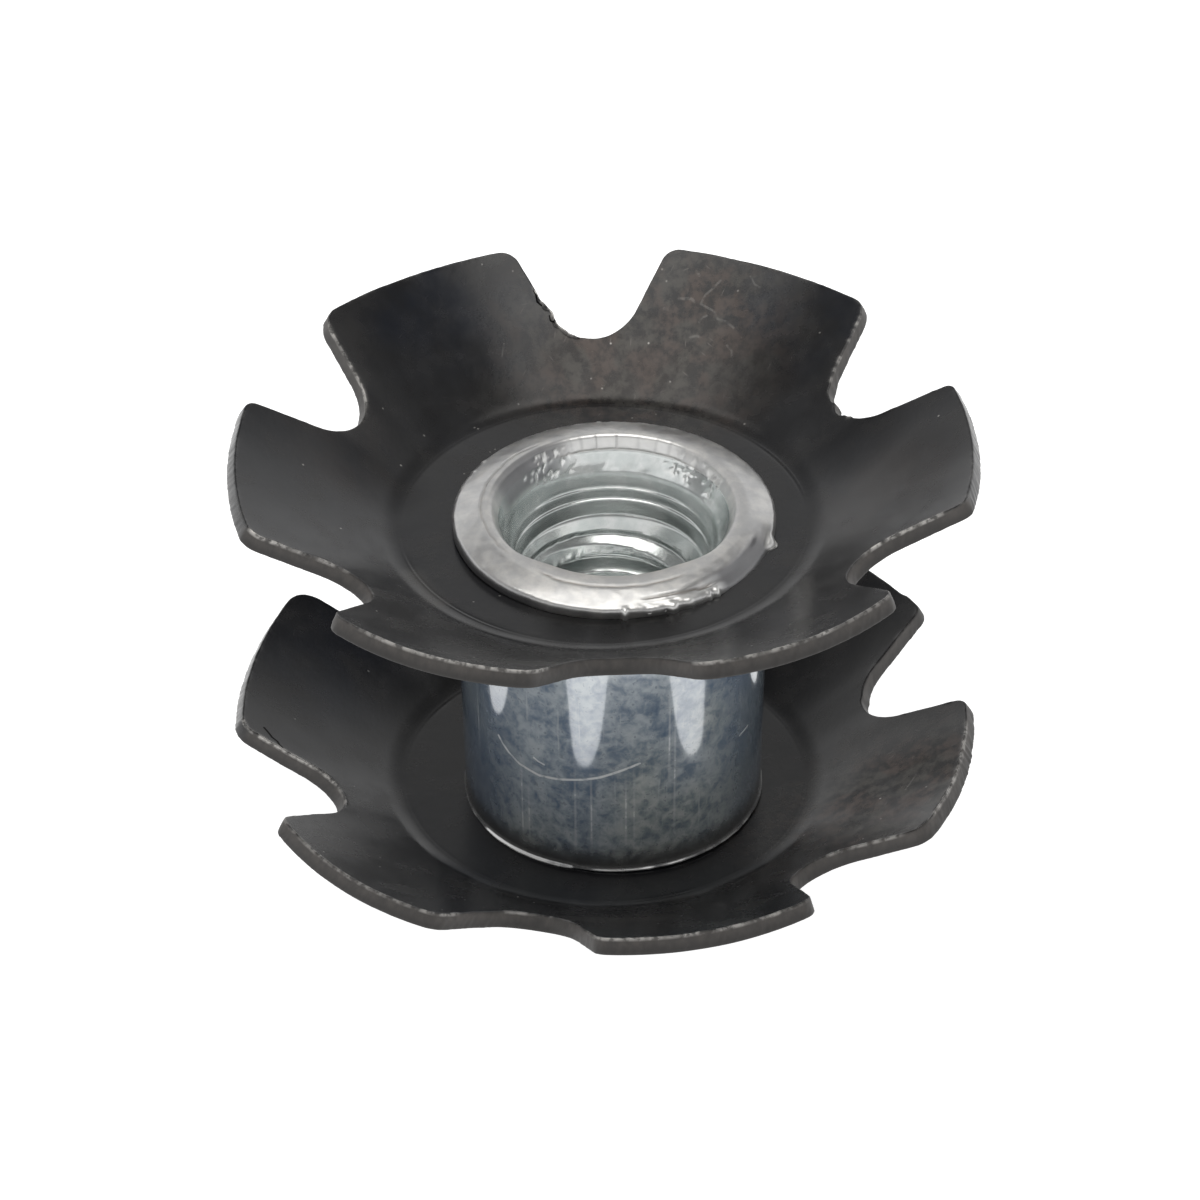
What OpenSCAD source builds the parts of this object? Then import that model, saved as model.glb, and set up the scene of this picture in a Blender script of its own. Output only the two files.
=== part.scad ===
// Star nut for a threadless steerer tube: a threaded barrel with a
// dished spring-steel star washer riveted on at each end.
// Millimetres, +Z up. The origin lies on the barrel's thread axis, in
// the plane of the lower flange's flat face, on which the nut rests.

/* [Star washers] */
// Diameter across the tips of the petals, as made, before it is driven in
rim_d = 26; // [25:0.1:28]
// Thickness of the spring-steel sheet
sheet_t = 0.6; // [0.4:0.05:0.8]
// Number of petals on each washer
petals = 6; // [5:1:7]
// Angle by which the petals are bent up from the flat centre
bowl_angle = 29; // [20:1:34]
// Radius of the flat centre, up to where the bend starts
flat_r = 7.07; // [6.8:0.01:7.6]
// Inner radius of the bend between the flat centre and the petals
bend_r = 1.4; // [0.6:0.1:1.6]
// Depth of the notches between the petals, along the sheet
notch_depth = 3.6; // [2.8:0.1:4.0]
// Radius at the root of a notch
notch_r = 1.9; // [1.4:0.1:2.1]
// Angle between each side of a notch and its middle line
notch_half_angle = 25; // [14:1:28]
// Rounding of the petals' corners
corner_r = 0.5; // [0.3:0.1:0.9]
// Height from one washer to the other
washer_pitch = 11.2; // [9.5:0.1:13]
// Turn of the upper washer about the axis
upper_turn = 32; // [0:1:71]
// Turn of the lower washer about the axis
lower_turn = 16; // [0:1:71]
// How far the washers' rims sit off the barrel's axis, along -X
run_out = 0.28; // [0:0.02:0.4]

/* [Barrel] */
// Diameter of the barrel just above the lower washer
body_d_low = 10.4; // [10:0.1:11]
// Diameter of the barrel just below the upper washer
body_d_high = 10.9; // [10:0.1:11.4]
// Chamfer at both ends of the barrel's thick part
body_chamfer = 0.15; // [0.05:0.05:0.4]
// Diameter of the thinner necks that pass through the washers
neck_d = 8.6; // [8.5:0.05:8.8]
// Diameter of the flanges rolled over the washers
flange_d = 11.2; // [11:0.05:11.6]
// Height of the lower flange below its washer
lower_flange_h = 0.8; // [0.7:0.05:1.0]
// Height of the upper flange's crest above its washer
upper_flange_h = 0.76; // [0.7:0.02:0.9]
// Height of the upper flange's rounded outer edge above its washer
upper_edge_h = 0.37; // [0.32:0.01:0.42]

/* [Bore] */
// Diameter of the threaded wall, the minor diameter of an M6 thread
thread_minor_d = 5.0; // [4.9:0.05:5.3]
// Diameter of the plain bore that leads to the thread
lead_d = 6.4; // [6.2:0.1:6.6]
// Depth of the thread's first full turn below the upper washer
thread_depth = 3.8; // [3.6:0.1:4.4]
// Height of the thread's last turn above the lower flange's face
thread_foot = 3.0; // [2.8:0.1:3.4]

/* [Hidden] */

steel_zinc = [0.66, 0.68, 0.70];
steel_black = [0.13, 0.13, 0.14];

round_fn = 96;
// Rounded and straight edges cross by this little where they meet, so that
// no sliver is left at a point of tangency
blend = 0.01;

// Heights of the faces that the washers are clamped between
z_low_seat = lower_flange_h;                  // underside of the lower washer
z_low_top = z_low_seat + sheet_t;             // barrel shoulder on the lower washer
z_high_seat = z_low_seat + washer_pitch;      // barrel shoulder under the upper washer
z_high_top = z_high_seat + sheet_t;           // upper flange's face on the upper washer
hole_r = neck_d / 2 + 0.05;                   // hole in a washer, round the neck

// Sheet: the conical part is laid out in a tilted frame whose origin is
// the centre of the bend and whose X runs up the petal.
cone_len = (rim_d / 2 - flat_r - (bend_r + sheet_t) * sin(bowl_angle)) / cos(bowl_angle);
rim_top_r = flat_r + cone_len * cos(bowl_angle) + bend_r * sin(bowl_angle);
root_x = cone_len - notch_depth + notch_r;    // centre of the notch's root

// Seen square to a petal, the rim is an arc of radius rim_arc. The centre
// of a corner's rounding is found by a few fixed-point steps.
rim_arc = rim_top_r / cos(bowl_angle);
function corner_v(s) = (notch_r + corner_r - 2 * blend + (s - root_x) * sin(notch_half_angle)) / cos(notch_half_angle);
function corner_s(n, s) = n == 0 ? s
    : corner_s(n - 1, cone_len - rim_arc + sqrt(pow(rim_arc - corner_r + blend, 2) - pow(corner_v(s), 2)));
c_s = corner_s(16, cone_len - corner_r);
c_v = corner_v(c_s);
c_a = atan2(c_v, c_s - cone_len + rim_arc);

// Half section of a washer, with the flat centre's underside at z = 0
module sheet_section() {
    translate([hole_r, 0]) square([flat_r - hole_r, sheet_t]);
    translate([flat_r, sheet_t + bend_r]) {
        intersection() {
            difference() {
                circle(r = bend_r + sheet_t, $fn = round_fn);
                circle(r = bend_r, $fn = round_fn);
            }
            polygon([[0, 0], [0, -3 * bend_r - 3 * sheet_t],
                     3 * (bend_r + sheet_t) * [sin(bowl_angle), -cos(bowl_angle)]]);
        }
        rotate(bowl_angle) {
            translate([0, -bend_r - sheet_t]) square([cone_len, sheet_t]);
            // Lies inside the sheet and ties the cone to the bend
            translate([-0.1, -bend_r - 0.75 * sheet_t]) square([0.2, sheet_t / 2]);
        }
    }
}

// The material taken off one petal's corner, on the +Y side of a notch
module corner_cut() {
    side = [cos(notch_half_angle), sin(notch_half_angle)];
    into_notch = [sin(notch_half_angle), -cos(notch_half_angle)];
    t1 = [c_s, c_v] + corner_r * into_notch;
    t2 = [c_s, c_v] + corner_r * [cos(c_a), sin(c_a)];
    difference() {
        polygon([[c_s, c_v], t1, t1 + 0.5 * into_notch, t1 + 0.5 * into_notch + 3 * side,
                 t2 + 3 * [cos(c_a), sin(c_a)], t2]);
        translate([c_s, c_v]) circle(r = corner_r, $fn = round_fn);
    }
}

// Outline of one notch: round root, straight flaring sides, rounded corners
module notch_outline() {
    far = cone_len + 2;
    side_r = notch_r - blend;
    half = side_r / cos(notch_half_angle) + (far - root_x) * tan(notch_half_angle);
    foot = [root_x - side_r * sin(notch_half_angle), side_r * cos(notch_half_angle)];
    translate([root_x, 0]) circle(r = notch_r, $fn = round_fn);
    polygon([foot, [far, half], [far, -half], [foot[0], -foot[1]]]);
    corner_cut();
    mirror([0, 1]) corner_cut();
}

// The cutter stands square to the sheet, so the cut faces do too
module notch_cutter() {
    translate([flat_r, 0, sheet_t + bend_r]) rotate([0, -bowl_angle, 0])
        translate([0, 0, -bend_r - sheet_t - 1]) linear_extrude(height = sheet_t + 2)
            notch_outline();
}

// Washer with its flat centre's underside at z = 0. The sheet is centred
// off the axis by run_out, and its hole stays on the axis.
module star_washer(turn) {
    difference() {
        translate([-run_out, 0, 0]) difference() {
            union() {
                rotate_extrude($fn = 180) sheet_section();
                cylinder(r = hole_r + 1, h = sheet_t, $fn = round_fn);
            }
            for (k = [0 : petals - 1])
                rotate([0, 0, turn + k * 360 / petals]) notch_cutter();
        }
        translate([0, 0, -1]) cylinder(r = hole_r, h = sheet_t + 2, $fn = round_fn);
    }
}

// Rounded crest and rounded outer edge of the upper flange, and the angle
// of the land that is tangent to both
crest_r = 0.28;
edge_r = 0.15;
crest = [neck_d / 2 + 0.12, z_high_top + upper_flange_h - crest_r];
edge = [flange_d / 2 - edge_r, z_high_top + upper_edge_h - edge_r];
land = atan2(crest[1] - edge[1], edge[0] - crest[0])
       + asin((crest_r - edge_r) / norm(edge - crest));

// Rounded edges of the lower flange, with a flat face between them
lip_r = 0.3;
heel_r = 0.35;
lip = [neck_d / 2 + 0.15, lip_r];
heel = [flange_d / 2 - heel_r, heel_r];

module barrel_outside() {
    // Thick part, slightly tapered
    polygon([[0, z_low_top], [body_d_low / 2 - body_chamfer, z_low_top],
             [body_d_low / 2, z_low_top + body_chamfer],
             [body_d_high / 2, z_high_seat - body_chamfer],
             [body_d_high / 2 - body_chamfer, z_high_seat], [0, z_high_seat]]);
    // Upper neck and rolled flange
    translate([0, z_high_seat - 0.5]) square([neck_d / 2, crest[1] - z_high_seat + 0.5]);
    polygon([[neck_d / 2 - 0.2, z_high_top], [flange_d / 2 - 0.05, z_high_top],
             [flange_d / 2, z_high_top + 0.05], [flange_d / 2, edge[1]],
             edge + edge_r * [sin(land), cos(land)],
             crest + crest_r * [sin(land), cos(land)],
             crest, [neck_d / 2 - 0.2, crest[1]]]);
    translate(crest) circle(r = crest_r, $fn = round_fn);
    translate(edge) circle(r = edge_r, $fn = round_fn);
    // Lower neck and flange
    translate([0, lip[1]]) square([neck_d / 2, z_low_top + 0.5 - lip[1]]);
    polygon([[lip[0], 0], [heel[0], 0], heel, [flange_d / 2, heel[1]],
             [flange_d / 2, z_low_seat - 0.05], [flange_d / 2 - 0.05, z_low_seat],
             [neck_d / 2 - 0.2, z_low_seat], [neck_d / 2 - 0.2, lip[1]], lip]);
    translate(lip) circle(r = lip_r, $fn = round_fn);
    translate(heel) circle(r = heel_r, $fn = round_fn);
}

// The bore, from the lower mouth to the upper one: flaring mouths, a
// slightly tapered lead-in and the threaded wall between them
module bore_section() {
    mr = thread_minor_d / 2;
    lr = lead_d / 2;
    fa = 23;
    low = lip + lip_r * [-cos(fa), -sin(fa)];
    high = crest + crest_r * [-cos(fa), sin(fa)];
    t = z_high_top;
    polygon([[0, -1], [low[0], -1], low, [lr + 0.55, 1.17], [lr + 0.25, 1.75],
             [lr, 2.3], [mr, thread_foot],
             [mr, t - thread_depth], [lr - 0.33, t - thread_depth + 0.4],
             [lr, t - 2.7], [lr, t - 2.0], [lr + 0.16, t - 1.4],
             [lr + 0.3, t - 1.0], [lr + 0.5, t - 0.45], high,
             [high[0], t + 2], [0, t + 2]]);
}

module threaded_barrel() {
    color(steel_zinc) rotate_extrude($fn = 180) difference() {
        barrel_outside();
        bore_section();
    }
}

module upper_star_washer() {
    color(steel_black) translate([0, 0, z_high_seat]) star_washer(upper_turn);
}

module lower_star_washer() {
    color(steel_black) translate([0, 0, z_low_seat]) star_washer(lower_turn);
}

threaded_barrel();
upper_star_washer();
lower_star_washer();
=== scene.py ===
import math

import bpy
import numpy as np
from mathutils import Matrix, Vector, geometry, kdtree, noise


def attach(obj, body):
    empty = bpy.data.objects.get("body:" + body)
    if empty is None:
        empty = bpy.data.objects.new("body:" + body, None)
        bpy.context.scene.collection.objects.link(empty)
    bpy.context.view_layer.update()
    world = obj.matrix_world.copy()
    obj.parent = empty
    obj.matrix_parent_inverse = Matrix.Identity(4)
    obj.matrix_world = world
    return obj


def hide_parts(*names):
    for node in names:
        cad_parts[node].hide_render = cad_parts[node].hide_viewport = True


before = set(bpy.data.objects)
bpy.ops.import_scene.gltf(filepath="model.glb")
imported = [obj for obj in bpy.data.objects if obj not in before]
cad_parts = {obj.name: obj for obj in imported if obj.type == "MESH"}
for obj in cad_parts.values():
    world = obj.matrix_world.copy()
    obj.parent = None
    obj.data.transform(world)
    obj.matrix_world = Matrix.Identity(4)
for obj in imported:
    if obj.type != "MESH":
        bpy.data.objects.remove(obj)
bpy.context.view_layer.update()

MM = 0.001
RAD = math.pi / 180.0

# ---------------------------------------------------------------- helpers


def smooth(e0, e1, x):
    t = np.clip((np.asarray(x, float) - e0) / (e1 - e0), 0.0, 1.0)
    return t * t * (3 - 2 * t)


def bump1(x, c, w):
    """1 at c, falling to 0 at c +- w, smooth."""
    t = np.clip(1 - np.abs(np.asarray(x, float) - c) / w, 0, 1)
    return t * t * (3 - 2 * t)


def adiff(a, b):
    """Signed difference of two angles in degrees."""
    return (np.asarray(a, float) - b + 180.0) % 360.0 - 180.0


def arc_mask(a, lo, hi, soft):
    """1 between the angles lo and hi, in degrees, with soft ends."""
    mid, half = (lo + hi) / 2.0, (hi - lo) / 2.0
    d = np.abs(adiff(a, mid))
    return 1 - smooth(half - soft / 2.0, half + soft / 2.0, d)


def vnoise(x, seed, period=None):
    """1-D value noise in -1..1 with a lattice step of 1."""
    x = np.asarray(x, float)
    i = np.floor(x).astype(np.int64)
    f = x - i
    f = f * f * (3 - 2 * f)

    def h(n):
        if period:
            n = n % period
        n = (n * 374761393 + seed * 668265263) & 0xFFFFFFFF
        n = ((n ^ (n >> 13)) * 1274126177) & 0xFFFFFFFF
        return ((n ^ (n >> 16)) & 0xFFFF) / 32767.5 - 1.0

    return h(i) * (1 - f) + h(i + 1) * f


def fnoise(x, seed, octaves=3, gain=0.5, period=None):
    total, amp, norm = 0.0, 1.0, 0.0
    for o in range(octaves):
        k = 2 ** o
        total = total + amp * vnoise(np.asarray(x) * k, seed + 17 * o, period * k if period else None)
        norm += amp
        amp *= gain
    return total / norm


def noise3(p, scale, octaves=2, seed=0.0):
    """Fractal gradient noise of an (n, 3) array, in about -1..1."""
    off = Vector((seed * 13.7, seed * 7.3, seed * 3.1))
    q = np.asarray(p, float) * scale
    return np.array([noise.fractal(Vector(v) + off, 1.0, 2.0, octaves) for v in q])


def new_mesh(name, verts, faces, attrs):
    me = bpy.data.meshes.new(name)
    me.from_pydata((np.asarray(verts) * MM).tolist(), [], faces)
    me.validate(clean_customdata=False)
    for key, val in attrs.items():
        a = me.attributes.new(key, "FLOAT", "POINT")
        a.data.foreach_set("value", np.asarray(val, np.float32))
    me.polygons.foreach_set("use_smooth", [True] * len(me.polygons))
    me.update()
    ob = bpy.data.objects.new(name, me)
    bpy.context.scene.collection.objects.link(ob)
    return ob


# ---------------------------------------------------------------- washers

THICK = 0.6
BEND = 1.45
CONE = 28.75 * RAD
CREASE = 7.43
RIM_TOP = 13.0 - THICK * math.sin(CONE)
HOLE = 4.35


def profile(r):
    """Height and slope angle of a washer's top face above its flat, by radius."""
    r = np.asarray(r, float)
    d = BEND * math.tan(CONE / 2)
    rb, re = CREASE - d, CREASE + d * math.cos(CONE)
    s = np.clip((r - rb) / BEND, 0, math.sin(CONE))
    z = np.where(r > re, (r - CREASE) * math.tan(CONE), BEND - np.sqrt(BEND ** 2 - (s * BEND) ** 2))
    return z, np.arcsin(s)


class Washer:
    def __init__(self, seat, centre, tilt, base, dz, slope, curl, seed):
        self.seat, self.centre, self.tilt = seat, centre, tilt
        self.base, self.dz, self.slope, self.curl, self.seed = base, np.array(dz), np.array(slope), curl, seed
        self.die = ()

    def petal(self, x, y):
        r = np.hypot(x, y)
        a = np.degrees(np.arctan2(y, x)) - (self.base + 30.0)
        k = np.round(a / 60.0).astype(int)
        u = (a - 60.0 * k) / 18.0
        w = np.clip((r - 7.0) / 5.7, 0, 1.1)
        w = w * w * (3 - 2 * np.clip(w, 0, 1)) * 0.35 + w * 0.65
        # between two petals the offsets of both are mixed, so the sheet has no step
        k0 = np.floor(a / 60.0 + 0.5).astype(int)
        side = np.where(a - 60.0 * k0 >= 0, 1, -1)
        un = (a - 60.0 * (k0 + side)) / 18.0
        own = self.dz[k0 % 6] + self.slope[k0 % 6] * np.clip(u, -1.25, 1.25) + self.curl * (np.clip(u, -1.3, 1.3) ** 2 - 0.33)
        nb = (k0 + side) % 6
        other = self.dz[nb] + self.slope[nb] * np.clip(un, -1.25, 1.25) + self.curl * (np.clip(un, -1.3, 1.3) ** 2 - 0.33)
        mix = 0.5 * smooth(1.05, 1.667, np.abs(u))
        return w * (own * (1 - mix) + other * mix)

    def top(self, x, y):
        """Top-face points and unit normals for plan points about the washer's own axis."""
        x, y = np.asarray(x, float), np.asarray(y, float)
        r = np.hypot(x, y)
        z, a = profile(r)
        z = z + self.petal(x, y)
        p = np.stack([x * MM, y * MM, x * 0], -1)
        wob = noise3(p, 420.0, 2, self.seed) * 0.012 * smooth(5.5, 8.5, r)
        z = z + wob
        z = z + RAD * self.tilt[0] * y - RAD * self.tilt[1] * x
        # a faint step where the forming die ended
        die = 0.25
        for a0, a1, k in self.die:
            die = die + k * arc_mask(np.degrees(np.arctan2(y, x)) % 360.0, a0, a1, 10)
        z = z + die * (0.010 * bump1(r, 7.115, 0.05) - 0.008 * bump1(r, 7.04, 0.06))
        c, s = x / np.maximum(r, 1e-9), y / np.maximum(r, 1e-9)
        n = np.stack([-np.sin(a) * c, -np.sin(a) * s, np.cos(a)], -1)
        pt = np.stack([x + self.centre[0], y + self.centre[1], z + self.seat + THICK], -1)
        return pt, n


def conic(p0, p1, p2, n):
    """Circular-looking fillet from p0 to p2 with its control point at p1."""
    a, b = p0 - p1, p2 - p1
    cosang = np.dot(a, b) / (np.linalg.norm(a) * np.linalg.norm(b))
    w = math.sin(math.acos(np.clip(cosang, -1, 1)) / 2)
    t = np.linspace(0, 1, n)[:, None]
    den = (1 - t) ** 2 + 2 * w * t * (1 - t) + t ** 2
    return ((1 - t) ** 2 * p0 + 2 * w * t * (1 - t) * p1 + t ** 2 * p2) / den


def rot(a):
    c, s = math.cos(a * RAD), math.sin(a * RAD)
    return np.array([[c, -s], [s, c]])


def outline(notches, step):
    """Closed counter-clockwise outline of a washer's top face in plan.
    notches: (azimuth, root radius, centre radius, half angle lo, half angle hi, corner lo, corner hi),
    where lo is the side with the smaller azimuth."""
    loop = []
    n = len(notches)
    for k, (az, rho, r0, b_lo, b_hi, c_lo, c_hi) in enumerate(notches):
        def side(b, sgn):
            foot = np.array([r0 - rho * math.sin(b * RAD), sgn * rho * math.cos(b * RAD)])
            d = np.array([math.cos(b * RAD), sgn * math.sin(b * RAD)])
            bb = foot @ d
            t = -bb + math.sqrt(bb * bb - foot @ foot + RIM_TOP ** 2)
            return foot, d, t
        f_lo, d_lo, t_lo = side(b_lo, -1)
        f_hi, d_hi, t_hi = side(b_hi, 1)
        k_lo, k_hi = f_lo + d_lo * t_lo, f_hi + d_hi * t_hi
        R = rot(az)

        def rim_pt(corner, arc):
            a = math.atan2(corner[1], corner[0]) + arc / RIM_TOP
            return RIM_TOP * np.array([math.cos(a), math.sin(a)])
        L_lo, L_hi = 1.39 * c_lo, 1.39 * c_hi
        part = [conic(rim_pt(k_lo, -L_lo), k_lo, k_lo - d_lo * L_lo, 40)]
        part.append(np.linspace(k_lo - d_lo * L_lo, f_lo, 60)[1:-1])
        a0, a1 = math.atan2(f_lo[1], f_lo[0] - r0), math.atan2(f_hi[1], f_hi[0] - r0)
        a0, a1 = a0 % (2 * math.pi), a1 % (2 * math.pi)
        ph = np.linspace(a0, a1, 90)[:, None]
        part.append(np.hstack([r0 + rho * np.cos(ph), rho * np.sin(ph)]))
        part.append(np.linspace(f_hi, k_hi - d_hi * L_hi, 60)[1:-1])
        part.append(conic(k_hi - d_hi * L_hi, k_hi, rim_pt(k_hi, L_hi), 40))
        loop.append((np.vstack(part) @ R.T))
    pts = []
    for k in range(n):
        pts.append(loop[k])
        e, s = loop[k][-1], loop[(k + 1) % n][0]
        a0, a1 = math.atan2(e[1], e[0]), math.atan2(s[1], s[0])
        while a1 < a0:
            a1 += 2 * math.pi
        t = np.linspace(a0, a1, 120)[1:-1]
        pts.append(RIM_TOP * np.stack([np.cos(t), np.sin(t)], -1))
    p = np.vstack(pts)
    q = np.vstack([p, p[:1]])
    s = np.concatenate([[0], np.cumsum(np.linalg.norm(np.diff(q, axis=0), axis=1))])
    m = int(round(s[-1] / step))
    t = np.arange(m) * s[-1] / m
    return np.stack([np.interp(t, s, q[:, 0]), np.interp(t, s, q[:, 1])], -1), s[-1]


def loop_normals(p, half=2):
    t = np.roll(p, -half, 0) - np.roll(p, half, 0)
    t /= np.linalg.norm(t, axis=1)[:, None]
    nrm = np.stack([t[:, 1], -t[:, 0]], -1)
    k = 5
    ker = np.hanning(2 * k + 1)
    ker /= ker.sum()
    out = np.zeros_like(nrm)
    for i, w in enumerate(ker):
        out += w * np.roll(nrm, i - k, 0)
    return out / np.linalg.norm(out, axis=1)[:, None]


def inside(poly, pts):
    """Even-odd test of pts against a closed polygon."""
    res = np.zeros(len(pts), bool)
    x, y = pts[:, 0], pts[:, 1]
    a, b = poly, np.roll(poly, -1, 0)
    for (x0, y0), (x1, y1) in zip(a, b):
        if y0 == y1:
            continue
        c = (y0 > y) != (y1 > y)
        if c.any():
            res ^= c & (x < (x1 - x0) * (y - y0) / (y1 - y0) + x0)
    return res


def build_washer(name, w, notches, edge_fn, burr_fn, wear_and_glint_fn, black_fn, phase):
    base, length = outline(notches, 0.062)
    m = len(base)
    nrm = loop_normals(base)
    az = np.degrees(np.arctan2(base[:, 1], base[:, 0])) % 360.0
    rad = np.hypot(base[:, 0], base[:, 1])
    arc = np.arange(m) * length / m
    shift = edge_fn(az, rad, arc)
    burr = burr_fn(az, rad, arc)
    wear_and_glint = wear_and_glint_fn(az, rad, arc)
    bare = 1 - 0.9 * black_fn(az, rad)
    ft, fb = 0.045, 0.05
    verts, faces, attrs = [], [], {"wear_and_glint": [], "cut": [], "low": []}
    count = 0

    def add(pts, wear_v, cut_v, low_v=0.0):
        nonlocal count
        verts.append(pts)
        attrs["low"].append(np.full(len(pts), float(low_v)))
        attrs["wear_and_glint"].append(np.broadcast_to(wear_v, (len(pts),)).astype(float))
        attrs["cut"].append(np.broadcast_to(cut_v, (len(pts),)).astype(float))
        i = count
        count += len(pts)
        return i

    def ring_faces(i0, i1, n, flip=False):
        j = np.arange(n)
        k = (j + 1) % n
        q = np.stack([i0 + j, i0 + k, i1 + k, i1 + j], -1)
        if not flip:
            q = q[:, ::-1]
        faces.extend(q.tolist())

    def row(d):
        """Plan points at distance d inside the edge."""
        fall = math.exp(-d / 0.16)
        return base - nrm * (d - shift[:, None] * fall)

    # top strip rows, from the inside out
    d_rows = [0.30, 0.22, 0.155, 0.105, 0.07, ft]
    top_ids, inner = [], None
    for d in d_rows:
        xy = row(d)
        pt, n3 = w.top(xy[:, 0], xy[:, 1])
        lift = burr * math.exp(-(d - ft) / 0.035)
        pt = pt + n3 * lift[:, None]
        ww = wear_and_glint * math.exp(-(d - ft) / 0.03)
        top_ids.append(add(pt, ww, 0.0))
    for a, b in zip(top_ids[:-1], top_ids[1:]):
        ring_faces(a, b, m)
    # wall of the cut
    xy0 = row(ft)
    p0, n3 = w.top(xy0[:, 0], xy0[:, 1])
    eps = 0.02
    p1, _ = w.top(xy0[:, 0] + nrm[:, 0] * eps, xy0[:, 1] + nrm[:, 1] * eps)
    e3 = p1 - p0
    e3 -= n3 * (e3 * n3).sum(1)[:, None]
    e3 /= np.linalg.norm(e3, axis=1)[:, None]
    wall = []
    for ph in (30, 60, 90):
        wall.append((ft * math.sin(ph * RAD), ft * (1 - math.cos(ph * RAD)), 1.0 - 0.25 * ph / 90, 0.35 + 0.3 * ph / 90))
    for f in (0.16, 0.30, 0.44, 0.58, 0.72, 0.84):
        h = ft + (THICK - ft - fb) * f
        wall.append((ft, h, 0.0, 1.0))
    for ph in (0, 30, 60):
        wall.append((ft - fb * (1 - math.cos(ph * RAD)), THICK - fb + fb * math.sin(ph * RAD), 0.0, 1.0 - 0.4 * ph / 90))
    prev = top_ids[-1]
    for idx, (o, h, wv, cv) in enumerate(wall):
        depth = h / THICK
        # drawn at the top, broken and rougher lower down
        stri = fnoise(arc / 0.11 + 3 * depth, phase + 5, 3) * (0.006 + 0.012 * smooth(0.25, 0.6, depth))
        lean = 0.015 * np.sin(depth * math.pi)
        if idx < 2:
            stri, lean = 0.0, 0.0
        pos = p0 + e3 * (np.asarray(o + stri + lean)[..., None] if np.ndim(stri) else (o + lean)) - n3 * (h - burr[:, None] * max(0.0, 1 - h / 0.12))
        cur = add(pos, wear_and_glint * wv, cv * bare, depth)
        ring_faces(prev, cur, m)
        prev = cur
    # underside strip rows, from the edge in
    bot_ids = []
    for d in [fb, 0.09, 0.15, 0.22, 0.30]:
        xy = row(d)
        pt, n3b = w.top(xy[:, 0], xy[:, 1])
        bot_ids.append(add(pt - n3b * THICK, 0.0, 0.0))
    ring_faces(prev, bot_ids[0], m)
    for a, b in zip(bot_ids[:-1], bot_ids[1:]):
        ring_faces(a, b, m)
    # polar middle
    NA = 360
    radii = [HOLE, 4.75, 5.2, 5.6, 5.95, 6.3, 6.6, 6.8, 6.94, 7.0, 7.04, 7.08, 7.115, 7.15, 7.19, 7.25, 7.32, 7.4, 7.48,
             7.56, 7.64, 7.72, 7.82, 7.96, 8.14, 8.36, 8.6]
    ang = np.arange(NA) * 2 * math.pi / NA
    # the hole is on the barrel's axis, and the sheet is centred off it
    cx, cy = w.centre
    top_r, bot_r = [], []
    for r in radii:
        k = 1 - smooth(HOLE, 6.5, r)
        x = r * np.cos(ang) - cx * k
        y = r * np.sin(ang) - cy * k
        pt, n3c = w.top(x, y)
        top_r.append(add(pt, 0.0, 0.0))
        bot_r.append(add(pt - n3c * THICK, 0.0, 0.0))
    for a, b in zip(top_r[:-1], top_r[1:]):
        ring_faces(a, b, NA)
    for a, b in zip(bot_r[:-1], bot_r[1:]):
        ring_faces(a, b, NA, True)
    ring_faces(bot_r[0], top_r[0], NA)
    # petals between the polar middle and the strip
    ring_xy = np.stack([radii[-1] * np.cos(ang), radii[-1] * np.sin(ang)], -1)
    loop_xy = row(d_rows[0])
    sp = 0.2
    gx, gy = np.meshgrid(np.arange(-13, 13, sp), np.arange(-13, 13, sp * math.sqrt(3) / 2))
    gx = gx + (np.arange(gx.shape[0]) % 2)[:, None] * sp / 2
    g = np.stack([gx.ravel(), gy.ravel()], -1)
    rr = np.hypot(g[:, 0], g[:, 1])
    g = g[(rr > radii[-1] + 0.13) & (rr < RIM_TOP)]
    g = g[inside(loop_xy, g)]
    tree = kdtree.KDTree(m)
    for i, p in enumerate(loop_xy):
        tree.insert((p[0], p[1], 0), i)
    tree.balance()
    keep = np.array([tree.find((p[0], p[1], 0))[2] > 0.13 for p in g])
    g = g[keep]
    allxy = np.vstack([loop_xy, ring_xy, g])
    e = [(i, (i + 1) % m) for i in range(m)] + [(m + i, m + (i + 1) % NA) for i in range(NA)]
    res = geometry.delaunay_2d_cdt([Vector(p) for p in allxy], e, [], 0, 1e-7)
    vco, tris, orig = np.array([tuple(v) for v in res[0]]), res[2], res[3]
    tri = np.array([t for t in tris if len(t) == 3])
    cen = vco[tri].mean(1)
    ok = (np.hypot(cen[:, 0], cen[:, 1]) > radii[-1] * math.cos(math.pi / NA) * 0.9999) & inside(loop_xy, cen)
    # triangles whose three corners all lie on the inner ring belong to the middle
    src = np.array([o[0] for o in orig])
    on_ring = (src >= m) & (src < m + NA)
    ok &= ~on_ring[tri].all(1)
    tri = tri[ok]
    a, b, c = vco[tri[:, 0]], vco[tri[:, 1]], vco[tri[:, 2]]
    area = (b[:, 0] - a[:, 0]) * (c[:, 1] - a[:, 1]) - (c[:, 0] - a[:, 0]) * (b[:, 1] - a[:, 1])
    tri[area < 0] = tri[area < 0][:, ::-1]
    pt, n3d = w.top(g[:, 0], g[:, 1])
    gt = add(pt, 0.0, 0.0)
    gb = add(pt - n3d * THICK, 0.0, 0.0)
    maps = {}
    for nm, loop_i, ring_i, g_i in (("t", top_ids[0], top_r[-1], gt), ("b", bot_ids[-1], bot_r[-1], gb)):
        mp = np.where(src < m, loop_i + src, np.where(src < m + NA, ring_i + (src - m), g_i + (src - m - NA)))
        t = mp[tri]
        if nm == "b":
            t = t[:, ::-1]
        faces.extend(t.tolist())
    V = np.vstack(verts)
    A = {k: np.concatenate(v) for k, v in attrs.items()}
    return new_mesh(name, V, faces, A)


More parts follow.
